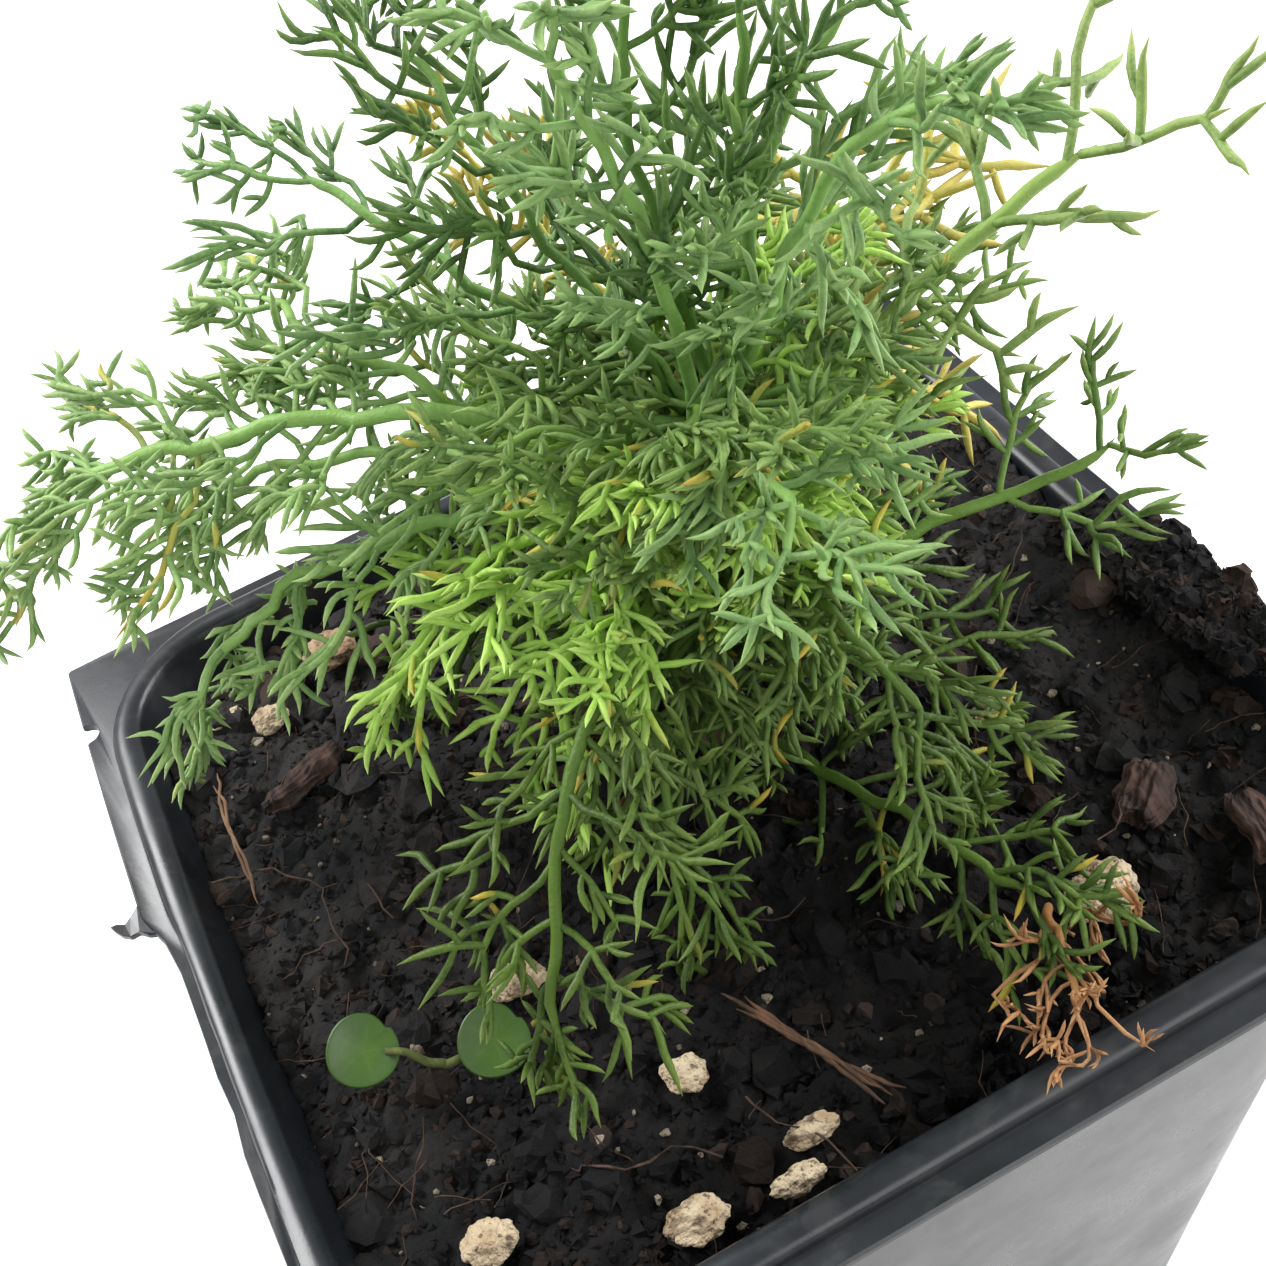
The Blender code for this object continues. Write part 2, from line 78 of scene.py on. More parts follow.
# Sizes that the pot's own solid was made with, repeated for its finer skin
FLANGE = 2.0 * MM
FLANGE_THICKNESS = 0.8 * MM
FLANGE_DROP = 1.2 * MM
BEAD_WIDTH = 3.0 * MM
WALL = 1.0 * MM
FLOOR = 1.2 * MM
BASE_WIDTH = 58 * MM
CORNER_RADIUS = 10 * MM
BASE_RADIUS = CORNER_RADIUS - WALL
FLANGE_CORNER = 0.8 * MM
LEFT_BOW = 1.0 * MM
DRAIN_DIAMETER = 8 * MM
DRAIN_OFFSET = 15 * MM

POT_LOW, POT_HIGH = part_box("nursery_pot")
POT_HEIGHT = POT_HIGH.z
POT_WIDTH = POT_HIGH.y - POT_LOW.y
INNER_TOP = POT_WIDTH / 2 - FLANGE - BEAD_WIDTH
INNER_BASE = BASE_WIDTH / 2 - WALL
FLANGE_TOP = POT_HEIGHT - FLANGE_DROP
FLANGE_UNDER = FLANGE_TOP - FLANGE_THICKNESS

# Painted shade and painted light on the outer wall: how much darker towards its left and paler towards
# its right than its colour it goes
WALL_PAINTED_SHADE = (0.5, 0.5, 0.5)
WALL_PAINTED_LIGHT = (1.45, 1.45, 1.45)

# Leaf styles: added pairs of segments on a pinna, shares of the usual segment length, lobe
# length and segment width, how much the pinnae shrink towards the tip, how much they curl,
# and the reach of their crinkles in mm
LEAF_STYLES = {
    "open": (-1, 1.35, 1.35, 1.22, 0.02, 0.16, 1.0),
    "full": (0, 1.00, 1.00, 0.94, 0.28, 0.24, 1.8),
    "lacy": (1, 0.86, 0.92, 0.90, 0.22, 0.40, 2.8),
}

# Leaves: tone, style, bare share, gap between pairs of pinnae and pinna length in mm, droop,
# roll and midrib radius in mm
LEAF_LOOKS = {
    "leaf_lower_right": ("low", "full", 0.20, 3.3, 9.5, 0.10, 0.5, 0.52),
    "leaf_back_low": ("mid", "full", 0.36, 3.6, 11.0, 0.20, 0.0, 0.50),
    "leaf_yellow_low": ("yellow", "open", 0.38, 4.4, 7.0, 0.10, 0.3, 0.42),
    "leaf_left_under": ("low", "full", 0.26, 4.8, 11.0, 0.10, 0.0, 0.45),
    "leaf_right_low": ("low", "full", 0.24, 3.6, 11.0, 0.10, 0.2, 0.50),
    "leaf_yellow_back": ("yellow", "open", 0.45, 4.4, 6.5, 0.05, 0.6, 0.45),
    "leaf_front_low": ("low", "full", 0.30, 3.6, 9.5, 0.15, 0.0, 0.42),
    "leaf_right": ("mid", "full", 0.44, 5.4, 11.0, 0.00, 0.3, 0.56),
    "leaf_back": ("dark", "full", 0.34, 4.4, 11.5, 0.10, 0.0, 0.50),
    "leaf_back_right": ("mid", "full", 0.36, 4.6, 11.0, 0.15, 0.0, 0.50),
    "leaf_front_right": ("low", "full", 0.22, 3.6, 10.5, 0.10, 0.0, 0.50),
    "leaf_upper_right_under": ("mid", "full", 0.28, 3.8, 10.5, 0.05, 0.2, 0.50),
    "leaf_left_middle": ("soft", "lacy", 0.24, 5.2, 12.0, 0.10, -0.3, 0.50),
    "leaf_front_hanging": ("leafy", "full", 0.38, 4.0, 10.0, 0.05, 0.0, 0.54),
    "leaf_upper_right": ("pale", "open", 0.34, 6.0, 12.0, 0.00, 0.4, 0.72),
    "leaf_bright_left": ("bright", "full", 0.20, 3.5, 10.5, 0.10, 0.0, 0.52),
    "leaf_upper_left_under": ("soft", "lacy", 0.24, 3.2, 13.0, 0.20, 0.0, 0.50),
    "leaf_front_near": ("near", "full", 0.24, 3.4, 8.0, 0.10, 0.0, 0.46),
    "leaf_left_low": ("soft", "lacy", 0.36, 5.6, 8.6, 0.30, 0.0, 0.58),
    "leaf_top_right": ("near", "full", 0.28, 7.0, 10.0, 0.00, 0.6, 0.50),
    "leaf_bright_centre": ("bright", "full", 0.18, 3.7, 11.0, 0.10, -0.5, 0.55),
    "leaf_upper_left": ("cool", "lacy", 0.26, 5.0, 13.0, -0.10, -0.5, 0.50),
    "leaf_left_high": ("soft", "lacy", 0.42, 2.6, 14.5, 0.02, -0.3, 0.66),
    "leaf_top_near": ("near", "full", 0.30, 5.0, 10.5, 0.00, 0.0, 0.50),
    "leaf_top_left": ("dark", "lacy", 0.26, 4.4, 11.0, 0.05, 0.0, 0.45),
    "leaf_top_front": ("near", "full", 0.24, 4.8, 10.5, 0.05, 0.0, 0.50),
    "leaf_top_middle": ("dark", "full", 0.22, 4.8, 10.5, 0.00, 0.0, 0.45),
    "leaf_top_inner": ("dark", "full", 0.22, 5.0, 10.5, 0.00, 0.0, 0.45),
}

# Share of its solid's midrib that each leaf's own midrib follows, as its last pinnae reach on
USUAL_REACH = 0.90
LEAF_REACH = {"leaf_upper_right": 0.68, "leaf_front_near": 0.74, "leaf_front_hanging": 0.84,
              "leaf_lower_right": 0.84, "leaf_left_high": 0.97, "leaf_left_middle": 0.95,
              "leaf_yellow_back": 0.78, "leaf_right": 0.86, "leaf_upper_left": 0.80}

# Leaf tones: the dark, light and tip colours. The green tones are partly the leaves' own colour and
# partly painted light and shade: the darkest tones, low and leafy, paint shade on the leaves low under
# the plant, and bright paints light on the leaves that catch the most light
LEAF_TONES = {
    "bright": ((0.165, 0.330, 0.036), (0.340, 0.590, 0.085), (0.540, 0.680, 0.200)),
    "leafy": ((0.020, 0.048, 0.005), (0.054, 0.106, 0.011), (0.15, 0.215, 0.040)),
    "low": ((0.022, 0.054, 0.007), (0.058, 0.116, 0.016), (0.17, 0.240, 0.050)),
    "mid": ((0.050, 0.118, 0.022), (0.125, 0.235, 0.050), (0.30, 0.40, 0.120)),
    "soft": ((0.078, 0.171, 0.042), (0.189, 0.342, 0.100), (0.448, 0.578, 0.224)),
    "pale": ((0.085, 0.165, 0.036), (0.200, 0.310, 0.085), (0.42, 0.50, 0.170)),
    "near": ((0.065, 0.153, 0.040), (0.159, 0.295, 0.085), (0.330, 0.460, 0.165)),
    "cool": ((0.027, 0.095, 0.022), (0.121, 0.250, 0.070), (0.405, 0.567, 0.230)),
    "dark": ((0.014, 0.050, 0.007), (0.064, 0.148, 0.024), (0.20, 0.320, 0.080)),
    "yellow": ((0.34, 0.32, 0.055), (0.56, 0.50, 0.110), (0.58, 0.42, 0.14)),
    "dead": ((0.11, 0.042, 0.019), (0.31, 0.140, 0.058), (0.55, 0.32, 0.14)),
    "husk": ((0.030, 0.012, 0.008), (0.12, 0.045, 0.022), (0.24, 0.110, 0.055)),
}
STALK_TINT = (1.05, 1.15, 0.75)

# Green leaves on which a few lobes have yellowed, with burnt tips
AGEING_TONES = ("bright", "leafy", "low", "pale", "mid", "soft")
AGED_COLOUR = (0.55, 0.42, 0.045)
BURNT_COLOUR = (0.30, 0.12, 0.035)


# ---------------------------------------------------------------- node trees

class Wiring:
    """Adds nodes to a tree and feeds each socket a value or another node's output."""

    def __init__(self, tree):
        self.tree = tree

    def add(self, kind, feeds=None, **settings):
        node = self.tree.nodes.new(kind)
        for key, value in settings.items():
            setattr(node, key, value)
        for key, value in (feeds or {}).items():
            self.feed(self.socket(node, key), value)
        return node

    @staticmethod
    def socket(node, key):
        if isinstance(key, int):
            return node.inputs[key]
        for socket in node.inputs:
            if socket.identifier == key:
                return socket
        return node.inputs[key]

    def feed(self, socket, value):
        if isinstance(value, bpy.types.Node):
            value = value.outputs[0]
        if isinstance(value, bpy.types.NodeSocket):
            self.tree.links.new(value, socket)
        elif value is not None:
            socket.default_value = value

    def math(self, operation, *values):
        node = self.add("ShaderNodeMath", dict(enumerate(values)), operation=operation)
        return node.outputs[0]

    def vector(self, operation, *values):
        node = self.add("ShaderNodeVectorMath", dict(enumerate(values)), operation=operation)
        return node.outputs[0]

    def scaled(self, vector, factor):
        node = self.add("ShaderNodeVectorMath", {0: vector, "Scale": factor}, operation="SCALE")
        return node.outputs[0]

    def combine(self, x=0.0, y=0.0, z=0.0):
        return self.add("ShaderNodeCombineXYZ", {0: x, 1: y, 2: z}).outputs[0]

    def times(self, first, second):
        return self.math("MULTIPLY", first, second)

    def plus(self, first, second):
        return self.math("ADD", first, second)

    def minus(self, first, second):
        return self.math("SUBTRACT", first, second)

    def power(self, first, second):
        return self.math("POWER", first, second)

    def ranged(self, value, start=0.0, end=1.0, low=0.0, high=1.0):
        """A value that goes from start to end, spread over low to high."""
        feeds = {"Value": value, "From Min": start, "From Max": end, "To Min": low, "To Max": high}
        return self.add("ShaderNodeMapRange", feeds).outputs[0]

    def attribute(self, name):
        return self.add("ShaderNodeAttribute", attribute_name=name).outputs["Fac"]

    def here(self):
        """Object coordinates, for a material."""
        return self.add("ShaderNodeTexCoord").outputs["Object"]

    def moved(self, geometry, offset):
        return self.add("GeometryNodeSetPosition", {"Geometry": geometry, "Offset": offset})

    def realized(self, instances):
        return self.add("GeometryNodeRealizeInstances", {"Geometry": instances})

    def sway(self, scale, detail, seed=None):
        """Noise from -0.5 to 0.5 in each direction."""
        noise_kind = "3D" if seed is None else "4D"
        cloud = self.add("ShaderNodeTexNoise", {"Scale": scale, "Detail": detail, "W": seed},
                         noise_dimensions=noise_kind)
        return self.vector("SUBTRACT", cloud.outputs["Color"], (0.5, 0.5, 0.5))


def new_group(name, kind, inputs, outputs):
    """A node group with named sockets; returns its wiring, input node and output node."""
    tree = bpy.data.node_groups.new(name, kind)
    for label, socket_type, default in inputs:
        socket = tree.interface.new_socket(label, in_out="INPUT", socket_type=socket_type)
        if default is not None:
            socket.default_value = default
    for label, socket_type in outputs:
        tree.interface.new_socket(label, in_out="OUTPUT", socket_type=socket_type)
    wiring = Wiring(tree)
    return wiring, wiring.add("NodeGroupInput"), wiring.add("NodeGroupOutput")


FLOAT = "NodeSocketFloat"
WHOLE = "NodeSocketInt"
VECTOR = "NodeSocketVector"
SHAPE = "NodeSocketGeometry"
FINISH = "NodeSocketMaterial"


def stored(wiring, geometry, name, value, data_type="FLOAT"):
    node = wiring.add("GeometryNodeStoreNamedAttribute", data_type=data_type, domain="POINT")
    wiring.feed(node.inputs["Geometry"], geometry)
    node.inputs["Name"].default_value = name
    wiring.feed(node.inputs["Value"], value)
    return node.outputs[0]


def named(wiring, name, data_type="FLOAT"):
    node = wiring.add("GeometryNodeInputNamedAttribute", data_type=data_type)
    node.inputs["Name"].default_value = name
    return node.outputs[0]


def chance(wiring, low, high, seed, salt):
    """Random number for each element, from its index and the tree's seed."""
    node = wiring.add("FunctionNodeRandomValue", {
        "Min_001": low, "Max_001": high, "Seed": wiring.plus(seed, float(salt))}, data_type="FLOAT")
    return node.outputs[1]


def chance_vector(wiring, low, high, seed):
    node = wiring.add("FunctionNodeRandomValue", {0: low, 1: high, "Seed": seed},
                      data_type="FLOAT_VECTOR")
    return node.outputs[0]


def end_tree(wiring, out, geometry, finish):
    """Ends a tree: real geometry with its material."""
    real = wiring.realized(geometry)
    done = wiring.add("GeometryNodeSetMaterial", {"Geometry": real, "Material": finish})
    wiring.feed(out.inputs[0], done)
    return wiring.tree


# How far side shoots vary: their slant in radians and their size
SLANT_SPREAD = (-0.36, 0.40)
SIZE_SPREAD = (0.72, 1.2)


def side_shoots_group():
    """Side shoots in staggered pairs along each curve, in the blade's plane."""
    inputs = [
        ("Curve", SHAPE, None), ("Pairs", WHOLE, 7), ("Start", FLOAT, 0.3),
        ("End", FLOAT, 0.97), ("Length", FLOAT, 0.009), ("Fade", FLOAT, 0.5),
        ("Rise", FLOAT, 0.6), ("Slant Base", FLOAT, 1.0), ("Slant Tip", FLOAT, 0.6),
        ("Roll", FLOAT, 0.5), ("Bend", FLOAT, 0.15), ("Droop", FLOAT, 0.0),
        ("Wobble", FLOAT, 0.0005), ("Stagger", FLOAT, 0.0006), ("Keep", FLOAT, 1.0),
        ("Points", WHOLE, 5), ("Seed", WHOLE, 0),
    ]
    wiring, give, out = new_group("side_shoots", "GeometryNodeTree", inputs, [("Curve", SHAPE)])
    g = give.outputs
    trimmed = wiring.add("GeometryNodeTrimCurve", {"Curve": g["Curve"], "Start": g["Start"],
                                                   "End": g["End"]})
    places = wiring.add("GeometryNodeCurveToPoints", {"Curve": trimmed, "Count": g["Pairs"]})
    index = wiring.add("GeometryNodeInputIndex").outputs[0]
    turn = wiring.math("MODULO", index, g["Pairs"])
    last = wiring.math("MAXIMUM", wiring.minus(g["Pairs"], 1.0), 1.0)
    points = stored(wiring, places.outputs["Points"], "share", wiring.math("DIVIDE", turn, last))
    points = stored(wiring, points, "along", places.outputs["Tangent"], "FLOAT_VECTOR")
    twins = wiring.add("GeometryNodeDuplicateElements", {"Geometry": points, "Amount": 2},
                       domain="POINT")
    hand = wiring.minus(wiring.times(twins.outputs["Duplicate Index"], 2.0), 1.0)
    points = stored(wiring, twins.outputs["Geometry"], "hand", hand)
    share = named(wiring, "share")
    along = named(wiring, "along", "FLOAT_VECTOR")
    hand = named(wiring, "hand")
    shift = chance(wiring, wiring.times(g["Stagger"], -1.0), g["Stagger"], g["Seed"], 12)
    points = wiring.moved(points, wiring.scaled(along, shift))
    plane = named(wiring, "plane", "FLOAT_VECTOR")
    level = wiring.vector("NORMALIZE", wiring.vector("CROSS_PRODUCT", plane, along))
    level = wiring.scaled(level, hand)
    upright = wiring.vector("CROSS_PRODUCT", along, level)
    roll = chance(wiring, wiring.times(g["Roll"], -1.0), g["Roll"], g["Seed"], 1)
    away = wiring.vector("ADD", wiring.scaled(level, wiring.math("COSINE", roll)),
                         wiring.scaled(upright, wiring.math("SINE", roll)))
    slant = wiring.ranged(share, low=g["Slant Base"], high=g["Slant Tip"])
    slant = wiring.plus(slant, chance(wiring, *SLANT_SPREAD, g["Seed"], 2))
    way = wiring.vector("ADD", wiring.scaled(along, wiring.math("COSINE", slant)),
                        wiring.scaled(away, wiring.math("SINE", slant)))
    facing = wiring.vector("CROSS_PRODUCT", along, away)
    rise = wiring.math("MINIMUM", wiring.math("MULTIPLY_ADD", share, 3.0, g["Rise"]), 1.0)
    fade = wiring.minus(1.0, wiring.times(share, g["Fade"]))
    size = wiring.times(wiring.times(rise, fade), named(wiring, "size"))
    size = wiring.times(size, chance(wiring, *SIZE_SPREAD, g["Seed"], 3))
    points = stored(wiring, points, "next_size", size)
    points = stored(wiring, points, "next_plane", wiring.scaled(facing, hand), "FLOAT_VECTOR")
    points = stored(wiring, points, "next_age", chance(wiring, 0.0, 1.0, g["Seed"], 13))
    shoot = wiring.add("GeometryNodeCurvePrimitiveLine", {"End": (0, 0, 1)})
    shoot = wiring.add("GeometryNodeResampleCurve", {"Curve": shoot, "Count": g["Points"]})
    height = wiring.add("ShaderNodeSeparateXYZ", {0: wiring.add("GeometryNodeInputPosition")})
    curl = wiring.times(wiring.power(height.outputs[2], 2.0),
                       wiring.times(g["Bend"], -1.0))
    shoot = wiring.moved(shoot, wiring.combine(curl))
    turned = wiring.add("FunctionNodeAxesToRotation", {"Primary Axis": way, "Secondary Axis": facing},
                        primary_axis="Z", secondary_axis="Y")
    keep = wiring.math("LESS_THAN", chance(wiring, 0.0, 1.0, g["Seed"], 4), g["Keep"])
    longer = wiring.times(g["Length"], size)
    shoots = wiring.add("GeometryNodeInstanceOnPoints", {
        "Points": points, "Selection": keep, "Instance": shoot, "Rotation": turned,
        "Scale": wiring.combine(longer, longer, longer)})
    real = stored(wiring, wiring.realized(shoots), "core", 0.0)
    real = stored(wiring, real, "size", named(wiring, "next_size"))
    real = stored(wiring, real, "age", named(wiring, "next_age"))
    real = stored(wiring, real, "plane", named(wiring, "next_plane", "FLOAT_VECTOR"), "FLOAT_VECTOR")
    tip = wiring.add("GeometryNodeSplineParameter").outputs["Factor"]
    real = stored(wiring, real, "tip_share", tip)
    reach = wiring.power(tip, 2.0)
    fall = wiring.times(wiring.times(reach, g["Droop"]),
                       wiring.times(g["Length"], -1.0))
    real = wiring.moved(real, wiring.combine(0.0, 0.0, fall))
    amount = wiring.times(wiring.times(g["Wobble"], 4.0), tip)
    real = wiring.moved(real, wiring.scaled(wiring.sway(200.0, 1.0, g["Seed"]), amount))
    wiring.feed(out.inputs[0], real)
    return wiring.tree


# Leaf tips that reach past this box, a little inside the solid's, are drawn back towards it
TIP_MARGIN = 1.5 * MM
TIPS_LOW = tuple(edge + TIP_MARGIN for edge in CAD_BOX[0])
TIPS_HIGH = tuple(edge - TIP_MARGIN for edge in CAD_BOX[1])
PAST_THE_BOX = 0.28
CRINKLE_SCALE = 240.0


def drawn_in(wiring, curve, low, high, crinkle):
    """Crinkled curves; those whose ends reach past a box are drawn back towards it."""
    where = wiring.add("GeometryNodeInputPosition").outputs[0]
    held = wiring.vector("MINIMUM", wiring.vector("MAXIMUM", where, low), high)
    past = wiring.vector("SUBTRACT", where, held)
    kept = wiring.vector("ADD", held, wiring.scaled(past, PAST_THE_BOX))
    kept = wiring.vector("ADD", kept, wiring.scaled(wiring.sway(CRINKLE_SCALE, 0.0), crinkle))
    return wiring.add("GeometryNodeSetPosition", {"Geometry": curve, "Position": kept})


def skinned(wiring, curve, radius, sides):
    """Closed round skin along curves."""
    sized = wiring.add("GeometryNodeSetCurveRadius", {"Curve": curve, "Radius": radius})
    ring = wiring.add("GeometryNodeCurvePrimitiveCircle", {"Resolution": sides, "Radius": 1.0})
    return wiring.add("GeometryNodeCurveToMesh", {
        "Curve": sized, "Profile Curve": ring, "Scale": named(wiring, "radius"), "Fill Caps": True})


def tubes(wiring, curve, width, sides, base, swell, most, sharpness):
    """Round tubes along curves: a base width that swells or shrinks, and a pointed tip."""
    tip = named(wiring, "tip_share")
    body = wiring.math("MINIMUM", wiring.math("MULTIPLY_ADD", tip, swell, base), most)
    point = wiring.times(wiring.minus(1.0, tip), sharpness)
    point = wiring.math("MINIMUM", wiring.plus(point, 0.05), 1.0)
    grown_width = wiring.times(width, wiring.power(named(wiring, "size"), 0.25))
    return skinned(wiring, curve, wiring.times(grown_width, wiring.times(body, point)), sides)


def feather_leaf_group(shoots):
    """A twice-divided leaf: midrib, pinnae, segments and their lobes, along one line."""
    inputs = [
        ("Midrib", SHAPE, None), ("Bare Share", FLOAT, 0.3),
        ("Pinna Pairs", WHOLE, 7), ("Pinna Length", FLOAT, 0.0085), ("Segment Pairs", WHOLE, 3),
        ("Segment Length", FLOAT, 0.0036), ("Lobe Length", FLOAT, 0.0024), ("Lobes Kept", FLOAT, 0.62),
        ("Midrib Radius", FLOAT, 0.00072), ("Blade Radius", FLOAT, 0.00037),
        ("Roll", FLOAT, 0.75), ("Droop", FLOAT, 0.1), ("Curl", FLOAT, 0.26),
        ("Fade", FLOAT, 0.28), ("Box Low", VECTOR, TIPS_LOW), ("Box High", VECTOR, TIPS_HIGH),
        ("Crinkle", FLOAT, 0.0024),
        ("Wobble", FLOAT, 0.0007), ("Seed", WHOLE, 1), ("Finish", FINISH, None),
    ]
    wiring, give, out = new_group("feather_leaf", "GeometryNodeTree", inputs, [("Leaf", SHAPE)])
    g = give.outputs
    midrib = wiring.add("GeometryNodeMeshToCurve", {"Mesh": g["Midrib"]})
    tangent = wiring.add("GeometryNodeInputTangent").outputs[0]
    side = named(wiring, "side", "FLOAT_VECTOR")
    plane = wiring.vector("NORMALIZE", wiring.vector("CROSS_PRODUCT", tangent, side))
    midrib = stored(wiring, midrib, "plane", plane, "FLOAT_VECTOR")
    midrib = stored(wiring, midrib, "size", 1.0)
    midrib = stored(wiring, midrib, "age", 0.5)
    tip = wiring.add("GeometryNodeSplineParameter").outputs["Factor"]
    midrib = stored(wiring, midrib, "tip_share", tip)
    midrib = stored(wiring, midrib, "core", 1.0)

    def branch(curve, feeds):
        node = wiring.add("GeometryNodeGroup", node_tree=shoots)
        wiring.feed(node.inputs["Curve"], curve)
        for key, value in feeds.items():
            wiring.feed(node.inputs[key], value)
        return node.outputs[0]

    pinnae = branch(midrib, {
        "Pairs": g["Pinna Pairs"], "Start": g["Bare Share"], "End": 0.955,
        "Length": g["Pinna Length"], "Fade": g["Fade"], "Rise": 0.60, "Slant Base": 1.34,
        "Slant Tip": 0.72, "Roll": g["Roll"], "Bend": g["Curl"], "Droop": g["Droop"],
        "Wobble": g["Wobble"], "Stagger": 0.0007, "Points": 7, "Seed": g["Seed"]})
    segments = branch(pinnae, {
        "Pairs": g["Segment Pairs"], "Start": 0.38, "End": 0.80, "Length": g["Segment Length"],
        "Fade": 0.12, "Rise": 0.75, "Slant Base": 1.08, "Slant Tip": 0.74, "Roll": 1.15,
        "Bend": g["Curl"], "Wobble": g["Wobble"], "Stagger": 0.0006, "Keep": 0.93, "Points": 7,
        "Seed": wiring.plus(g["Seed"], 31.0)})
    lobes = branch(segments, {
        "Pairs": 1, "Start": 0.36, "End": 0.40, "Length": g["Lobe Length"],
        "Fade": 0.0, "Rise": 1.0, "Slant Base": 0.88, "Slant Tip": 0.88, "Roll": 1.2,
        "Bend": 0.20, "Wobble": 0.0002, "Stagger": 0.0003, "Keep": g["Lobes Kept"], "Points": 5,
        "Seed": wiring.plus(g["Seed"], 57.0)})
    midrib, pinnae, segments, lobes = (
        drawn_in(wiring, curve, g["Box Low"], g["Box High"], g["Crinkle"])
        for curve in (midrib, pinnae, segments, lobes))
    blade = g["Blade Radius"]
    parts = [
        tubes(wiring, midrib, g["Midrib Radius"], 8, 1.10, -0.38, 1.3, 12.0),
        tubes(wiring, pinnae, blade, 6, 0.95, 0.05, 1.0, 4.5),
        tubes(wiring, segments, blade, 6, 0.88, 0.35, 1.02, 3.2),
        tubes(wiring, lobes, wiring.times(blade, 0.92), 6, 0.86, 0.40, 1.02, 2.8),
    ]
    joined = wiring.add("GeometryNodeJoinGeometry")
    for part in parts:
        wiring.tree.links.new(part.outputs[0], joined.inputs[0])
    smooth = wiring.add("GeometryNodeSetShadeSmooth", {"Geometry": joined})
    return end_tree(wiring, out, smooth, g["Finish"])


def leaf_tree():
    """The leaf's node tree, built once."""
    shoots = once("side_shoots", side_shoots_group)
    return once("feather_leaf", feather_leaf_group, shoots)


def once(name, build, *needs):
    """A node group by name, built the first time it is asked for."""
    return bpy.data.node_groups.get(name) or build(*needs)


def evaluated(piece):
    """A new mesh of a piece with its modifiers applied."""
    bpy.context.view_layer.update()
    graph = bpy.context.evaluated_depsgraph_get()
    return bpy.data.meshes.new_from_object(piece.evaluated_get(graph))


def grown(name, mesh, tree, values):
    """Runs a geometry tree on a mesh and returns the finished piece as a plain mesh."""
    guide = place(f"{name}_guide", mesh)
    modifier = guide.modifiers.new("grow", "NODES")
    modifier.node_group = tree
    sockets = {item.name: item.identifier for item in tree.interface.items_tree
               if item.item_type == "SOCKET" and item.in_out == "INPUT"}
    for label, value in values.items():
        modifier[sockets[label]] = value
    result = evaluated(guide)
    bpy.data.objects.remove(guide)
    return place(name, result)


def place(name, mesh):
    mesh.name = name
    piece = bpy.data.objects.new(name, mesh)
    bpy.context.scene.collection.objects.link(piece)
    return piece


def settle(piece, slot, *nodes):
    """A finished piece rides on the body and stands for CAD nodes; its slot is not used."""
    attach(piece, "root")
    if nodes:
        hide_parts(*nodes)
    return piece


def finish_mesh(name, mesh, material, slot, *nodes):
    """A plain mesh made a finished piece of one material."""
    mesh.materials.append(material)
    return settle(place(name, mesh), slot, *nodes)


# ---------------------------------------------------------------- materials

def patches_group():
    """Cloudy mask on Object coordinates, pushed to a chosen threshold and softness."""
    inputs = [("Scale", FLOAT, 100.0), ("Detail", FLOAT, 4.0), ("Threshold", FLOAT, 0.5),
              ("Softness", FLOAT, 0.1), ("Distortion", FLOAT, 0.0)]
    wiring, give, out = new_group("patches", "ShaderNodeTree", inputs,
                                  [("Mask", FLOAT), ("Cloud", FLOAT)])
    g = give.outputs
    where = wiring.add("ShaderNodeTexCoord").outputs["Object"]
    cloud = wiring.add("ShaderNodeTexNoise", {"Vector": where, "Scale": g["Scale"],
                                              "Detail": g["Detail"], "Roughness": 0.62,
                                              "Distortion": g["Distortion"]}).outputs[0]
    low = wiring.minus(g["Threshold"], g["Softness"])
    high = wiring.plus(g["Threshold"], g["Softness"])
    mask = wiring.add("ShaderNodeMapRange", {"Value": cloud, "From Min": low, "From Max": high},
                      interpolation_type="SMOOTHSTEP")
    wiring.feed(out.inputs["Mask"], mask)
    wiring.feed(out.inputs["Cloud"], cloud)
    return wiring.tree


def new_material(name, **constants):
    """A node material; returns it with its wiring and its shader."""
    material = bpy.data.materials.new(name)
    material.use_nodes = True
    shader = material.node_tree.nodes["Principled BSDF"]
    for label, value in constants.items():
        shader.inputs[label.replace("_", " ")].default_value = value
    return material, Wiring(material.node_tree), shader


def patches(wiring, scale, threshold=0.5, softness=0.1, detail=4.0, distortion=0.0):
    node = wiring.add("ShaderNodeGroup", node_tree=once("patches", patches_group))
    for label, value in (("Scale", scale), ("Detail", detail), ("Threshold", threshold),
                         ("Softness", softness), ("Distortion", distortion)):
        node.inputs[label].default_value = value
    return node.outputs


def mixed(wiring, factor, first, second):
    node = wiring.add("ShaderNodeMix", data_type="RGBA")
    for label, value in (("Factor_Float", factor), ("A_Color", first), ("B_Color", second)):
        if isinstance(value, tuple):
            value = (*value, 1)
        wiring.feed(Wiring.socket(node, label), value)
    return node.outputs["Result"]


def finished(made, colour, roughness, height, distance, strength):
    """Wires a material's colour, its roughness over a cloud (cloud, low, high) and its bump."""
    material, wiring, shader = made
    cloud, low, high = roughness
    bump = wiring.add("ShaderNodeBump", {"Height": height, "Distance": distance,
                                         "Strength": strength})
    for label, value in (("Base Color", colour), ("Normal", bump),
                         ("Roughness", wiring.ranged(cloud, low=low, high=high))):
        wiring.feed(shader.inputs[label], value)
    return material


def tinted(wiring, body, mask, share, colour):
    """A body colour with a share of another one where the mask is."""
    return mixed(wiring, wiring.times(mask, share), body, colour)


def toned(colour, factors):
    return tuple(min(1.0, part * factor) for part, factor in zip(colour, factors))


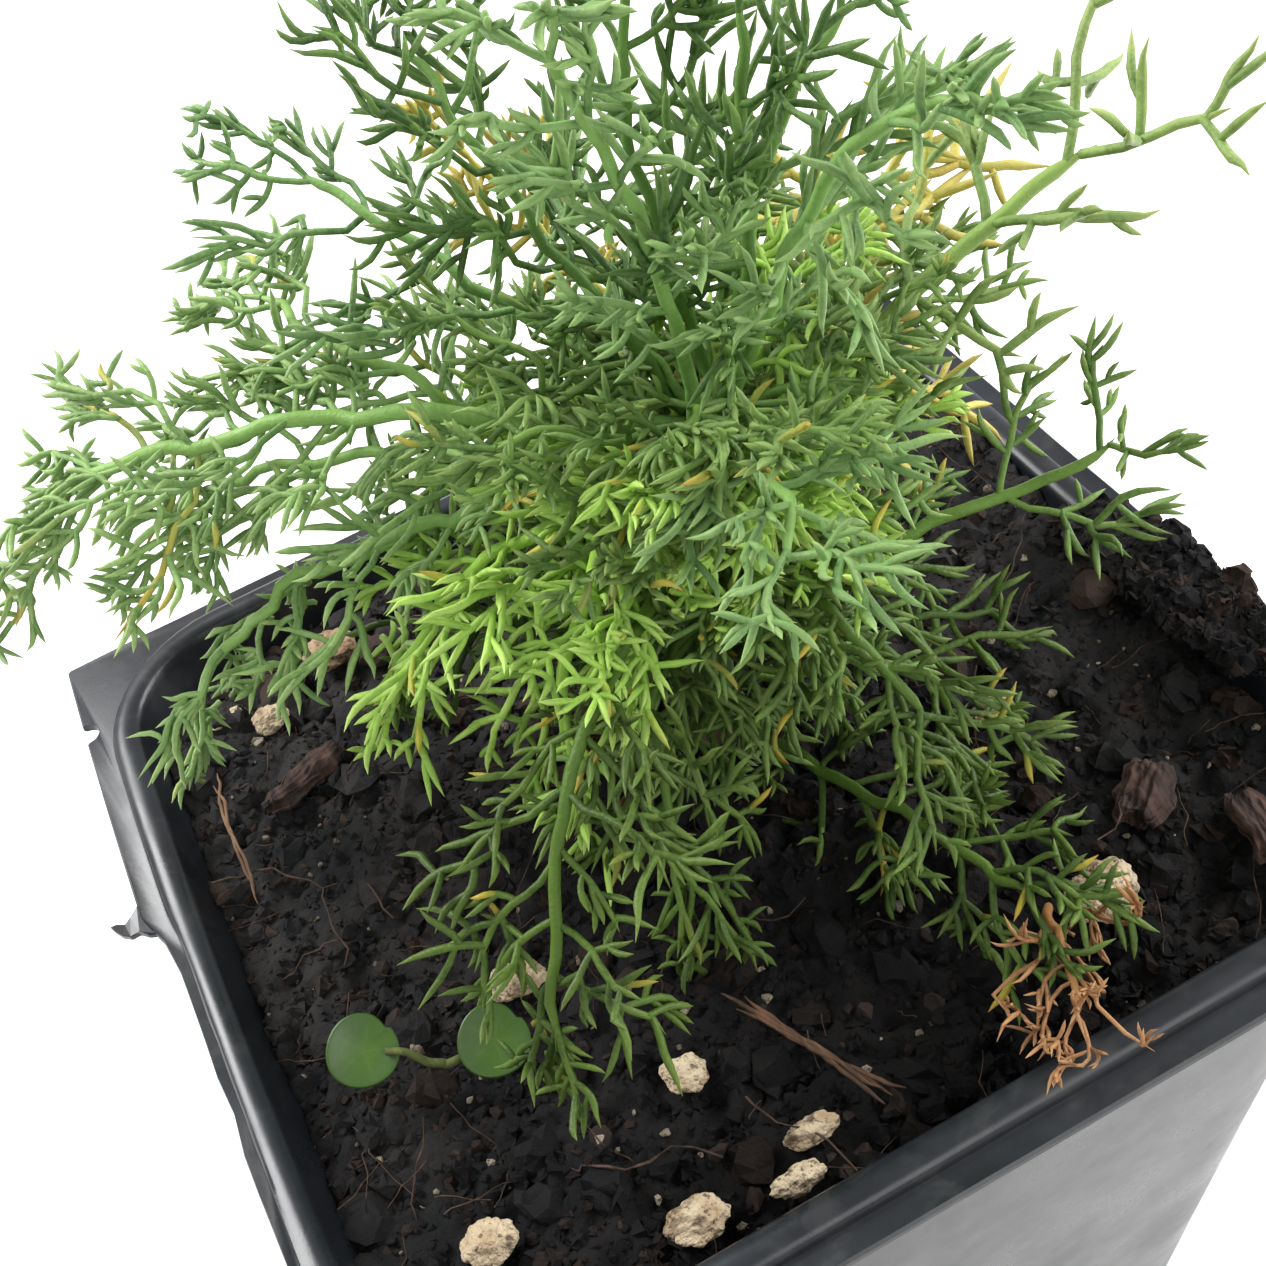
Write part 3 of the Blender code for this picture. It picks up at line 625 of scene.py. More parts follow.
def leaf_material(tone):
    """Skin of a leaf: paler towards each segment's tip, cloudy, with a fine down."""
    name = f"feathery_{tone}"
    if name in bpy.data.materials:
        return bpy.data.materials[name]
    # A green tone's colours hold painted light and shade as well as the leaf's own colour
    dark, light, tip = LEAF_TONES[tone]
    made = new_material(name, Specular_IOR_Level=0.26)
    wiring = made[1]
    share, age, core = (wiring.attribute(kept) for kept in ("tip_share", "age", "core"))
    cloud = patches(wiring, 240.0, 0.5, 0.16, 3.0)
    fine = patches(wiring, 2600.0, 0.5, 0.25, 2.0)
    body = mixed(wiring, cloud["Mask"], dark, light)
    body = tinted(wiring, body, wiring.power(share, 2.0), 0.60, tip)
    body = tinted(wiring, body, fine["Mask"], 0.28, tip)
    body = tinted(wiring, body, wiring.ranged(age, 0.35, 0.0), 0.55, dark)
    body = tinted(wiring, body, core, 0.55, toned(light, STALK_TINT))
    if tone in AGEING_TONES:
        old = wiring.ranged(age, 0.955, 0.985)
        worn = wiring.times(old, wiring.power(share, 0.6))
        body = tinted(wiring, body, worn, 0.85, AGED_COLOUR)
        burnt = wiring.times(wiring.power(share, 5.0), old)
        body = tinted(wiring, body, burnt, 0.8, BURNT_COLOUR)
    return finished(made, body, (fine["Cloud"], 0.36, 0.62), fine["Cloud"], 0.00012, 0.8)


def pot_material(name, looks):
    """Thin black plastic: satin dark rim; outer wall painted grey as a painted reflection of the bright
    floor, with painted light and shade across it, scuffed and dusty.
    """
    made = new_material(name, Specular_IOR_Level=0.46)
    wiring = made[1]
    where = wiring.here()
    across, _, height = wiring.add("ShaderNodeSeparateXYZ", {0: where}).outputs
    wall = wiring.ranged(height, FLANGE_UNDER - 0.2 * MM, FLANGE_UNDER - 1.2 * MM)
    outer = wiring.times(wall, wiring.minus(1.0, inside_mask(wiring, where)))
    bloom = patches(wiring, 45.0, 0.45, 0.25, 5.0)
    haze = patches(wiring, 28.0, 0.5, 0.30, 3.0)
    scuff = patches(wiring, 260.0, 0.60, 0.10, 6.0, 0.6)
    specks = patches(wiring, 380.0, 0.775, 0.02, 1.0)
    dusty = patches(wiring, 90.0, 0.52, 0.20, 5.0)
    grain = patches(wiring, 3200.0, 0.5, 0.3, 2.0)
    skin = mixed(wiring, bloom["Mask"], tuple(looks.body), tuple(looks.rim))
    # Painted light and shade: the outer wall goes paler towards the right and darker towards the left,
    # mottled by the haze
    painted_lit_side = wiring.ranged(across, -POT_WIDTH / 9, POT_WIDTH / 2, 0.15)
    haze_and_painted_light = wiring.math("MULTIPLY_ADD", haze["Mask"], 0.35, wiring.minus(painted_lit_side, 0.35))
    grey = mixed(wiring, haze_and_painted_light, toned(looks.wall, WALL_PAINTED_SHADE), toned(looks.wall, WALL_PAINTED_LIGHT))
    # Painted reflection: the outer wall takes the grey wall colour, which stands for the bright floor
    # reflected in the black plastic
    skin = mixed(wiring, outer, skin, grey)
    skin = tinted(wiring, skin, scuff["Mask"], 0.08 * looks.dust, (0.34, 0.33, 0.31))
    skin = tinted(wiring, skin, specks["Mask"], 0.45, (0.020, 0.016, 0.014))
    return finished(made, skin, (dusty["Mask"], 0.26, 0.42), grain["Cloud"], 0.00003, 0.25)


def inside_mask(wiring, where):
    """1 on the pot's inner wall, where the surface faces the middle, and 0 outside."""
    normal = wiring.add("ShaderNodeNewGeometry").outputs["Normal"]
    flat = wiring.vector("MULTIPLY", where, (1.0, 1.0, 0.0))
    facing = wiring.add("ShaderNodeVectorMath", {0: flat, 1: normal}, operation="DOT_PRODUCT")
    return wiring.math("LESS_THAN", facing.outputs["Value"], 0.0)


def soil_material(name, looks):
    """Damp near-black compost, browner in patches, with painted light making it paler at the sides and
    back and painted shade making it darker at the front.
    """
    made = new_material(name, Specular_IOR_Level=0.09)
    wiring = made[1]
    broad = patches(wiring, 110.0, 0.52, 0.16, 6.0)
    fine = patches(wiring, 900.0, 0.60, 0.10, 6.0)
    body = mixed(wiring, broad["Mask"], tuple(looks.soil_dark), tuple(looks.soil_light))
    body = tinted(wiring, body, fine["Mask"], 0.35, (0.021, 0.0155, 0.0125))
    browner = wiring.ranged(wiring.attribute("tint"), 0.72, 1.0)
    body = tinted(wiring, body, browner, 0.8, (0.026, 0.017, 0.013))
    # Painted light and shade: dry scales the colour darker at the front and paler towards the sides and
    # back
    across, back, _ = wiring.add("ShaderNodeSeparateXYZ", {0: wiring.here()}).outputs
    far = wiring.math("MULTIPLY_ADD", wiring.math("ABSOLUTE", across), 0.5, back)
    dry = wiring.ranged(far, -40 * MM, 30 * MM, 0.25, 2.1)
    return finished(made, wiring.scaled(body, dry), (fine["Cloud"], 0.62, 1.0),
                    fine["Cloud"], 0.0005, 0.9)


def mineral_material(name, pale, warm, stain):
    """Porous expanded mineral: pale, dusty, pitted and stained by the soil."""
    made = new_material(name, Specular_IOR_Level=0.25)
    wiring = made[1]
    broad = patches(wiring, 420.0, 0.5, 0.2, 5.0)
    dirt = patches(wiring, 300.0, 0.60, 0.08, 8.0, 0.8)
    pores = patches(wiring, 1700.0, 0.62, 0.05, 2.0)
    body = mixed(wiring, broad["Mask"], pale, warm)
    body = tinted(wiring, body, dirt["Mask"], 0.9, stain)
    body = tinted(wiring, body, pores["Mask"], 0.75, stain)
    return finished(made, body, (broad["Cloud"], 0.8, 1.0), pores["Cloud"], -0.0005, 1.0)


def woody_material(name, dark, light):
    """Fibrous woody surface: fine streaks drawn out along one axis."""
    made = new_material(name, Specular_IOR_Level=0.3)
    wiring = made[1]
    drawn_out = wiring.add("ShaderNodeMapping", {"Vector": wiring.here(), "Scale": (1.0, 0.12, 0.12)})
    streak = wiring.add("ShaderNodeTexNoise", {"Vector": drawn_out, "Scale": 1100.0, "Detail": 5.0,
                                               "Roughness": 0.65}).outputs[0]
    broad = patches(wiring, 260.0, 0.55, 0.15, 4.0)
    body = mixed(wiring, wiring.ranged(streak, 0.35, 0.68), dark, light)
    body = tinted(wiring, body, broad["Mask"], 0.5, dark)
    return finished(made, body, (streak, 0.68, 0.98), streak, 0.0003, 1.0)


def stem_material(name):
    """Green cloudy stem, browner at its foot."""
    made = new_material(name, Sheen_Weight=0.3)
    wiring = made[1]
    cloud = patches(wiring, 300.0, 0.5, 0.2, 4.0)
    fine = patches(wiring, 2400.0, 0.5, 0.2, 2.0)
    foot = wiring.ranged(wiring.attribute("height_share"), 0.30, 0.02)
    body = mixed(wiring, cloud["Mask"], (0.075, 0.17, 0.025), (0.17, 0.30, 0.055))
    body = mixed(wiring, foot, body, (0.10, 0.050, 0.025))
    return finished(made, body, (cloud["Cloud"], 0.4, 0.7), fine["Cloud"], 0.0001, 0.8)


def seedling_material(name):
    """Smooth seed leaf with a paler middle and faint veins."""
    made = new_material(name)
    wiring = made[1]
    cloud = patches(wiring, 700.0, 0.55, 0.2, 4.0)
    share, vein = wiring.attribute("tip_share"), wiring.attribute("vein")
    body = mixed(wiring, share, (0.060, 0.130, 0.010), (0.034, 0.088, 0.006))
    body = tinted(wiring, body, vein, 0.5, (0.090, 0.165, 0.032))
    body = tinted(wiring, body, cloud["Mask"], 0.35, (0.022, 0.064, 0.010))
    return finished(made, body, (cloud["Cloud"], 0.30, 0.55), cloud["Cloud"], 0.0001, 0.6)


# ---------------------------------------------------------------- lines of the solids

def merged(node):
    """A solid's vertices with the loose triangles' doubles joined."""
    shape = bmesh.new()
    shape.from_mesh(NODES[node].data)
    bmesh.ops.remove_doubles(shape, verts=shape.verts, dist=1e-6)
    return shape


def merged_points(node):
    shape = merged(node)
    points = np.array([vert.co for vert in shape.verts])
    shape.free()
    return points


def stem_line(count):
    """Centre and radius of the stem at even heights, from slices of its solid."""
    shape = merged("main_stem")
    low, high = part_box("main_stem")
    rows = []
    for step in range(count):
        level = low.z + (high.z - low.z) * (0.02 + 0.94 * step / (count - 1))
        cut = []
        for edge in shape.edges:
            first, second = (vert.co for vert in edge.verts)
            if (first.z - level) * (second.z - level) < 0:
                cut.append(first.lerp(second, (level - first.z) / (second.z - first.z)))
        xs = [point.x for point in cut]
        ys = [point.y for point in cut]
        middle = Vector(((min(xs) + max(xs)) / 2, (min(ys) + max(ys)) / 2, level))
        rows.append((middle, (max(ys) - min(ys)) / 2))
    shape.free()
    return rows


def bernstein(t):
    """Weights of a curve's three control points at each share of its length."""
    t = np.asarray(t)[:, None]
    return np.hstack([(1 - t) ** 2, 2 * t * (1 - t), t ** 2])


# Fit of a leaf's midrib: how near its points have to be in mm, round by round, how much its
# start counts, and the radius of the ring of points round its start
FIT_REACHES = (6, 4, 2.5, 1.6, 1.2, 1.0, 1.0, 1.0)
START_WEIGHT = 40
START_RING = 1.8 * MM


def leaf_line(node, near):
    """Control points of the curved midrib that a leaf's solid was grown along."""
    points = merged_points(node)
    gaps = np.linalg.norm(points[:, None] - near[None], axis=2).min(1)
    first = points[gaps.argmin()]
    ring = points[np.linalg.norm(points - first, axis=1) < START_RING]
    start = ring.mean(0)
    tip = points[np.linalg.norm(points - start, axis=1).argmax()]
    controls = np.array([start, (start + tip) / 2, tip])
    controls[1] = 1.5 * points.mean(0) - 0.25 * (start + tip)
    shares = np.linspace(0, 1, 80)
    for reach in FIT_REACHES:
        curve = bernstein(shares) @ controls
        far = np.linalg.norm(points[:, None] - curve[None], axis=2)
        nearest = far.argmin(1)
        use = far.min(1) < reach * MM
        basis = bernstein(shares[nearest[use]])
        basis = np.vstack([basis, START_WEIGHT * bernstein([0.0])])
        wanted = np.vstack([points[use], START_WEIGHT * start[None]])
        controls = np.linalg.lstsq(basis, wanted, rcond=None)[0]
    return controls


def line_mesh(name, lines):
    """Guide of one or more lines, each with the sideways direction of its blade."""
    points, edges, sides = [], [], []
    for line, side in lines:
        first = len(points)
        points += [tuple(point) for point in line]
        edges += [(index, index + 1) for index in range(first, len(points) - 1)]
        sides += [tuple(side)] * len(line)
    mesh = bpy.data.meshes.new(name)
    mesh.from_pydata(points, edges, [])
    attribute = mesh.attributes.new("side", "FLOAT_VECTOR", "POINT")
    attribute.data.foreach_set("vector", np.array(sides, dtype=np.float32).ravel())
    return mesh


def strand_line(node, rings):
    """Centres of the rings of a thin tube, in order along it."""
    points = merged_points(node)
    middle = points.mean(0)
    axis = np.linalg.svd(points - middle)[2][0]
    order = np.argsort((points - middle) @ axis)
    return [points[part].mean(0) for part in np.array_split(order, rings)]


def smooth_line(points, count):
    """Even points on a smooth curve through the given ones."""
    points = [Vector(point) for point in points]
    ends = [2 * points[0] - points[1], *points, 2 * points[-1] - points[-2]]
    line = []
    spans = len(points) - 1
    for step in range(count):
        place = step / (count - 1) * spans
        index = min(int(place), spans - 1)
        t = place - index
        a, b, c, d = ends[index:index + 4]
        line.append(0.5 * (2 * b + (c - a) * t + (2 * a - 5 * b + 4 * c - d) * t * t
                           + (3 * b - a - 3 * c + d) * t ** 3))
    return line


# ---------------------------------------------------------------- mesh helpers

def mesh_from(shape, smooth=True):
    mesh = bpy.data.meshes.new("shape")
    for face in shape.faces:
        face.smooth = smooth
    shape.to_mesh(mesh)
    shape.free()
    return mesh


def lofted(loops, closed_ends=True):
    """Closed skin through rings of the same number of points."""
    shape = bmesh.new()
    rings = [[shape.verts.new(point) for point in loop] for loop in loops]
    for lower, upper in zip(rings, rings[1:]):
        for index, vert in enumerate(lower):
            shape.faces.new((lower[index - 1], vert, upper[index], upper[index - 1]))
    if closed_ends:
        shape.faces.new(rings[0])
        shape.faces.new(rings[-1])
    bmesh.ops.recalc_face_normals(shape, faces=shape.faces)
    return shape


def tube(points, radii, sides, ribs=0, rib_depth=0.0):
    """Round or ribbed tube along points."""
    loops = []
    across = None
    for index, point in enumerate(points):
        before = points[max(index - 1, 0)]
        after = points[min(index + 1, len(points) - 1)]
        along = (Vector(after) - Vector(before)).normalized()
        if across is None:
            across = along.orthogonal()
        across = (across - along * across.dot(along)).normalized()
        other = along.cross(across)
        loop = []
        for side in range(sides):
            turn = 2 * math.pi * side / sides
            radius = radii[index] * (1 + rib_depth * math.cos(ribs * turn))
            loop.append(Vector(point) + (across * math.cos(turn) + other * math.sin(turn)) * radius)
        loops.append(loop)
    return lofted(loops)


def fractal(point, scale, octaves=4):
    return noise.fractal(Vector(point) * scale, 0.8, 2.1, octaves)


# ---------------------------------------------------------------- pot

SIDE_SHARES = [step / 24 for step in range(1, 24)]
CORNER_STEPS = 10


def inner_half(z):
    return INNER_BASE + (INNER_TOP - INNER_BASE) * z / POT_HEIGHT


def bow(x, y, z, half):
    """The left side stands out most at the rim and mid-side."""
    leftness = max(0.0, -x / half)
    along = max(0.0, 1 - (y / half) ** 2)
    return x - LEFT_BOW * leftness * along * (z / POT_HEIGHT) ** 2


def pot_section(half, radius, z):
    """Points round the pot at one height: each corner's arc and the side after it."""
    flat = half - radius
    quarter = []
    for step in range(CORNER_STEPS + 1):
        angle = step / CORNER_STEPS * math.pi / 2
        quarter.append(Vector((flat, flat, 0)) + radius * Vector((math.cos(angle), math.sin(angle), 0)))
    quarter += [Vector((flat, half, 0)).lerp(Vector((-flat, half, 0)), share) for share in SIDE_SHARES]
    points = []
    for corner in range(4):
        turn = Matrix.Rotation(corner * math.pi / 2, 3, "Z")
        for local in quarter:
            point = turn @ local
            points.append(Vector((bow(point.x, point.y, z, half), point.y, z)))
    return points


def pot_rings():
    """Half width, corner radius and height of each ring, outside upwards and inside down."""
    base = BASE_WIDTH / 2
    outer_top = INNER_TOP + WALL
    under = FLANGE_UNDER
    edge = POT_WIDTH / 2
    rings = [(base - 1.2 * MM, BASE_RADIUS, 0.0), (base - 0.5 * MM, BASE_RADIUS + 0.5 * MM, 0.15 * MM),
             (base, BASE_RADIUS + WALL, 0.9 * MM)]
    for step in range(1, 12):
        share = step / 12
        height = 0.9 * MM + (under - 0.9 * MM) * share
        rings.append((base + (outer_top - base) * share, BASE_RADIUS + WALL + WALL * share, height))
    rings += [(outer_top, CORNER_RADIUS + WALL, under - 0.7 * MM),
              (outer_top + 0.25 * MM, CORNER_RADIUS + 1.2 * MM, under - 0.15 * MM),
              (outer_top + 0.6 * MM, CORNER_RADIUS + 1.5 * MM, under),
              (edge - 0.2 * MM, FLANGE_CORNER * 0.3, under),
              (edge, FLANGE_CORNER * 0.4, under + 0.2 * MM),
              (edge, FLANGE_CORNER * 0.4, FLANGE_TOP - 0.2 * MM),
              (edge - 0.2 * MM, FLANGE_CORNER * 0.3, FLANGE_TOP)]
    foot = INNER_TOP + BEAD_WIDTH
    rings += [(foot + 0.15 * MM, CORNER_RADIUS + BEAD_WIDTH, FLANGE_TOP - 0.1 * MM)]
    for step in range(9):
        turn = math.pi * step / 8
        out = INNER_TOP + BEAD_WIDTH * (0.5 + 0.46 * math.cos(turn))
        rise = FLANGE_TOP + FLANGE_DROP * math.sin(turn) ** 0.7
        if step > 4:
            rise = max(rise, FLANGE_TOP - 0.3 * MM)
        rings.append((out, CORNER_RADIUS + out - INNER_TOP, rise))
    for step in range(9):
        height = (under - 0.5 * MM) + (FLOOR + 1.2 * MM - under + 0.5 * MM) * step / 8
        rings.append((inner_half(height), CORNER_RADIUS - (1 - height / POT_HEIGHT) * MM, height))
    rings += [(inner_half(FLOOR) - 0.8 * MM, BASE_RADIUS - 0.5 * MM, FLOOR)]
    return rings


# The left flange is torn narrower from here towards the front
TEAR_START = 0.115 * POT_WIDTH


def worn_rim(point):
    """The walls are a little uneven, the flange slightly wavy and partly torn away."""
    if point.z < FLANGE_UNDER - 2 * MM:
        wave = 0.14 * MM * fractal(point, 22, 2)
        flat = Vector((point.x, point.y, 0)).normalized()
        return point + flat * wave * min(1, point.z / (20 * MM))
    outwards = max(abs(point.x), abs(point.y)) - (INNER_TOP + BEAD_WIDTH)
    if outwards <= 0:
        return point
    inwards = 0.0
    if -point.x > abs(point.y):
        after_tear = min(1.0, max(0.0, (TEAR_START - point.y) / (4 * MM)))
        before_corner = min(1.0, max(0.0, (point.y + 0.42 * POT_WIDTH) / (4 * MM)))
        ragged = 0.55 + 0.12 * fractal(Vector((0, point.y, 1)), 300, 3)
        inwards = outwards * after_tear * before_corner * min(0.8, max(0.3, ragged))
    return point + Vector((inwards, 0, 0.12 * MM * fractal(point, 90, 3)))


# Pieces missing from the flange: place along the left edge as a share of the pot's width,
# depth from the edge and radius, in mm
RIM_BITES = ((0.392, 0.15, 1.25), (0.100, 0.10, 0.75), (0.062, 0.05, 0.55), (0.040, 0.20, 0.50),
             (0.018, 0.05, 0.40))


def bite_cutters(shape):
    """Upright round cutters at the bites in the left flange."""
    for place_share, depth, radius in RIM_BITES:
        y = place_share * POT_WIDTH
        edge = bow(-POT_WIDTH / 2, y, POT_HEIGHT, POT_WIDTH / 2)
        at = Matrix.Translation((edge + depth * MM, y, POT_HEIGHT))
        bmesh.ops.create_cone(shape, cap_ends=True, segments=28, radius1=radius * MM,
                              radius2=radius * MM, depth=8 * MM, matrix=at)


class ChamomilePotLooks(PropertyGroup):
    """Colours and wear of the plastic pot."""

    body: FloatVectorProperty(name="Plastic", description="Colour of the dark plastic",
                              subtype="COLOR", default=(0.0045, 0.0055, 0.0075), min=0, max=1)
    rim: FloatVectorProperty(name="Rim bloom", description="Colour of the rim's grey bloom",
                             subtype="COLOR", default=(0.0150, 0.0180, 0.0230), min=0, max=1)
    # The wall colour is a painted reflection: grey standing for the bright floor reflected in the black
    # plastic
    wall: FloatVectorProperty(name="Wall", description="Colour of the scuffed outer wall",
                              subtype="COLOR", default=(0.116, 0.118, 0.121), min=0, max=1)
    dust: FloatProperty(name="Dust", description="How dusty the plastic is", subtype="FACTOR",
                        default=0.5, min=0, max=1)


class CHAMOMILE_OT_pot(Operator):
    """Build the square plastic nursery pot"""

    bl_idname = "chamomile.pot"
    bl_label = "Pot"

    def execute(self, context):
        finish = pot_material("black_plastic", context.scene.chamomile_pot)
        loops = [[worn_rim(point) for point in pot_section(*ring)] for ring in pot_rings()]
        pot = place("fine_pot", mesh_from(lofted(loops)))
        cutter = bmesh.new()
        for side_x, side_y in ((1, 1), (-1, 1), (-1, -1), (1, -1)):
            at = Matrix.Translation((side_x * DRAIN_OFFSET, side_y * DRAIN_OFFSET, 0))
            bmesh.ops.create_cone(cutter, cap_ends=True, segments=40, radius1=DRAIN_DIAMETER / 2,
                                  radius2=DRAIN_DIAMETER / 2, depth=6 * MM, matrix=at)
        bite_cutters(cutter)
        holes = place("drain_cutter", mesh_from(cutter, False))
        cut = pot.modifiers.new("drains", "BOOLEAN")
        cut.object = holes
        mesh = evaluated(pot)
        bpy.data.objects.remove(pot)
        bpy.data.objects.remove(holes)
        mesh.materials.clear()
        mesh.set_sharp_from_angle(angle=math.radians(38))
        finish_mesh("fine_pot", mesh, finish, "pot_plastic", "nursery_pot")
        finish_mesh("torn_tab", torn_tab(), finish, "pot_plastic")
        return {"FINISHED"}


def torn_tab():
    """Ragged tongue of plastic that stands out from the left of the rim."""
    root = Vector((-POT_WIDTH / 2 - LEFT_BOW * 0.9, 0.130 * POT_WIDTH, FLANGE_TOP - 0.3 * MM))
    outline = [(0.9, 1.5), (0.0, 0.75), (-0.7, 0.25), (-1.2, 0.05), (-1.9, 0.75), (-2.4, 1.1),
               (-2.1, 0.3), (-1.7, -0.5), (-1.1, -1.2), (-0.4, -1.35), (0.1, -1.9), (0.9, -2.2)]
    shape = bmesh.new()
    top = [shape.verts.new(root + Vector((1.18 * x * MM, 1.3 * y * MM, (0.2 - 0.2 * x * x) * MM)))
           for x, y in reversed(outline)]
    low = [shape.verts.new(vert.co - Vector((0, 0, 0.55 * MM))) for vert in top]
    shape.faces.new(top)
    shape.faces.new(low)
    for index, vert in enumerate(top):
        shape.faces.new((top[index - 1], vert, low[index], low[index - 1]))
    bmesh.ops.recalc_face_normals(shape, faces=shape.faces)
    bmesh.ops.bevel(shape, geom=shape.edges[:], offset=0.06 * MM, segments=2, affect="EDGES")
    bmesh.ops.triangulate(shape, faces=shape.faces)
    return mesh_from(shape, False)


# ---------------------------------------------------------------- soil

SOIL_CELLS = 150


def ground_tree():
    """Height of the soil's solid under any point, from its own top surface."""
    shape = merged("potting_soil")
    shape.normal_update()
    tree = BVHTree.FromBMesh(shape)
    shape.free()
    return tree


def ground_height(tree, x, y, default):
    hit = tree.ray_cast(Vector((x, y, 2 * POT_HEIGHT)), Vector((0, 0, -1)))[0]
    return hit.z if hit else default


def rounded_square(u, v, half, radius):
    ring = max(abs(u), abs(v))
    if ring < 1e-9:
        return Vector((0, 0))
    u, v = u / ring, v / ring
    inner = half - radius
    x, y = u * half, v * half
    over_x, over_y = abs(x) - inner, abs(y) - inner
    if over_x > 0 and over_y > 0:
        angle = math.atan2(over_y, over_x)
        x = math.copysign(inner + radius * math.cos(angle), x)
        y = math.copysign(inner + radius * math.sin(angle), y)
    return Vector((x, y)) * ring


def soil_relief(x, y):
    """Lumps, hollows and small clods of the soil's surface, as a rise in metres."""
    at = Vector((x, y, 0))
    broad = 1.3 * MM * fractal(at, 90, 3)
    clods = 1.0 * MM * (1 - 2 * abs(fractal(at + Vector((3, 1, 0)), 230, 3)))
    grit = 0.25 * MM * fractal(at, 900, 3)
    return broad + clods + grit - 1.0 * MM


def soil_mesh(tree):
    """Crumbly top on a block that fills the pot."""
    low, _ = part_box("potting_soil")
    shape = bmesh.new()
    bmesh.ops.create_grid(shape, x_segments=SOIL_CELLS, y_segments=SOIL_CELLS, size=1)
    top = [(vert, vert.co.x, vert.co.y) for vert in shape.verts]
    made = bmesh.ops.extrude_face_region(shape, geom=shape.faces[:], use_keep_orig=True)
    lower = [item for item in made["geom"] if isinstance(item, bmesh.types.BMVert)]
    floor_half = inner_half(low.z)
    for vert in lower:
        flat = rounded_square(vert.co.x, vert.co.y, floor_half - 0.3 * MM, BASE_RADIUS)
        vert.co = (flat.x, flat.y, low.z)
    usual = POT_HEIGHT - 4 * MM
    for vert, u, v in top:
        guess = rounded_square(u, v, INNER_TOP - 1.5 * MM, CORNER_RADIUS)
        height = ground_height(tree, guess.x, guess.y, usual)
        half = inner_half(height) - 0.1 * MM
        flat = rounded_square(u, v, half, CORNER_RADIUS)
        x = bow(flat.x, flat.y, height, half)
        height = ground_height(tree, flat.x * 0.985, flat.y * 0.985, usual)
        vert.co = (x, flat.y, height + soil_relief(x, flat.y))
    bmesh.ops.recalc_face_normals(shape, faces=shape.faces)
    return shape


def spots_on(wiring, g, salt):
    """Random points on the ground, lifted off it, each with a random tint."""
    spots = wiring.add("GeometryNodeDistributePointsOnFaces", {
        "Mesh": g["Ground"], "Density": g["Density"], "Seed": g["Seed"]},
        distribute_method="RANDOM")
    points = wiring.moved(spots, wiring.scaled(spots.outputs["Normal"], g["Lift"]))
    tint = chance(wiring, 0.0, 1.0, g["Seed"], salt)
    return spots, stored(wiring, points, "next_tint", tint)


def strewn(wiring, points, shape, turned, scale):
    """Real copies of a shape on points, each with its point's tint."""
    copies = wiring.add("GeometryNodeInstanceOnPoints", {
        "Points": points, "Instance": shape, "Rotation": turned, "Scale": scale})
    return stored(wiring, wiring.realized(copies), "tint", named(wiring, "next_tint"))


def crumbs_group():
    """Loose angular crumbs strewn over a surface."""
    inputs = [("Ground", SHAPE, None), ("Density", FLOAT, 400000.0), ("Smallest", FLOAT, 0.0003),
              ("Largest", FLOAT, 0.0012), ("Rarity", FLOAT, 3.0), ("Flatness", FLOAT, 0.75),
              ("Lift", FLOAT, 0.0), ("Rounds", WHOLE, 1), ("Roughen", FLOAT, 0.0004),
              ("Seed", WHOLE, 0), ("Finish", FINISH, None)]
    wiring, give, out = new_group("crumbs", "GeometryNodeTree", inputs, [("Crumbs", SHAPE)])
    g = give.outputs
    spots, points = spots_on(wiring, g, 5)
    ball = wiring.add("GeometryNodeMeshIcoSphere", {"Radius": 0.5, "Subdivisions": g["Rounds"]})
    span = wiring.power(chance(wiring, 0.0, 1.0, g["Seed"], 6), g["Rarity"])
    size = wiring.ranged(span, low=g["Smallest"], high=g["Largest"])
    wide = wiring.times(size, chance(wiring, 0.7, 1.5, g["Seed"], 7))
    thin = wiring.times(size, g["Flatness"])
    turn = chance_vector(wiring, (-0.5, -0.5, -3.14), (0.5, 0.5, 3.14), g["Seed"])
    euler = wiring.add("FunctionNodeEulerToRotation", {0: turn})
    facing = wiring.add("FunctionNodeRotateRotation", {0: spots.outputs["Rotation"], 1: euler},
                        rotation_space="LOCAL")
    real = strewn(wiring, points, ball.outputs[0], facing, wiring.combine(wide, size, thin))
    push = wiring.scaled(wiring.sway(1500.0, 1.0), wiring.times(g["Roughen"], 2.0))
    return end_tree(wiring, out, wiring.moved(real, push), g["Finish"])


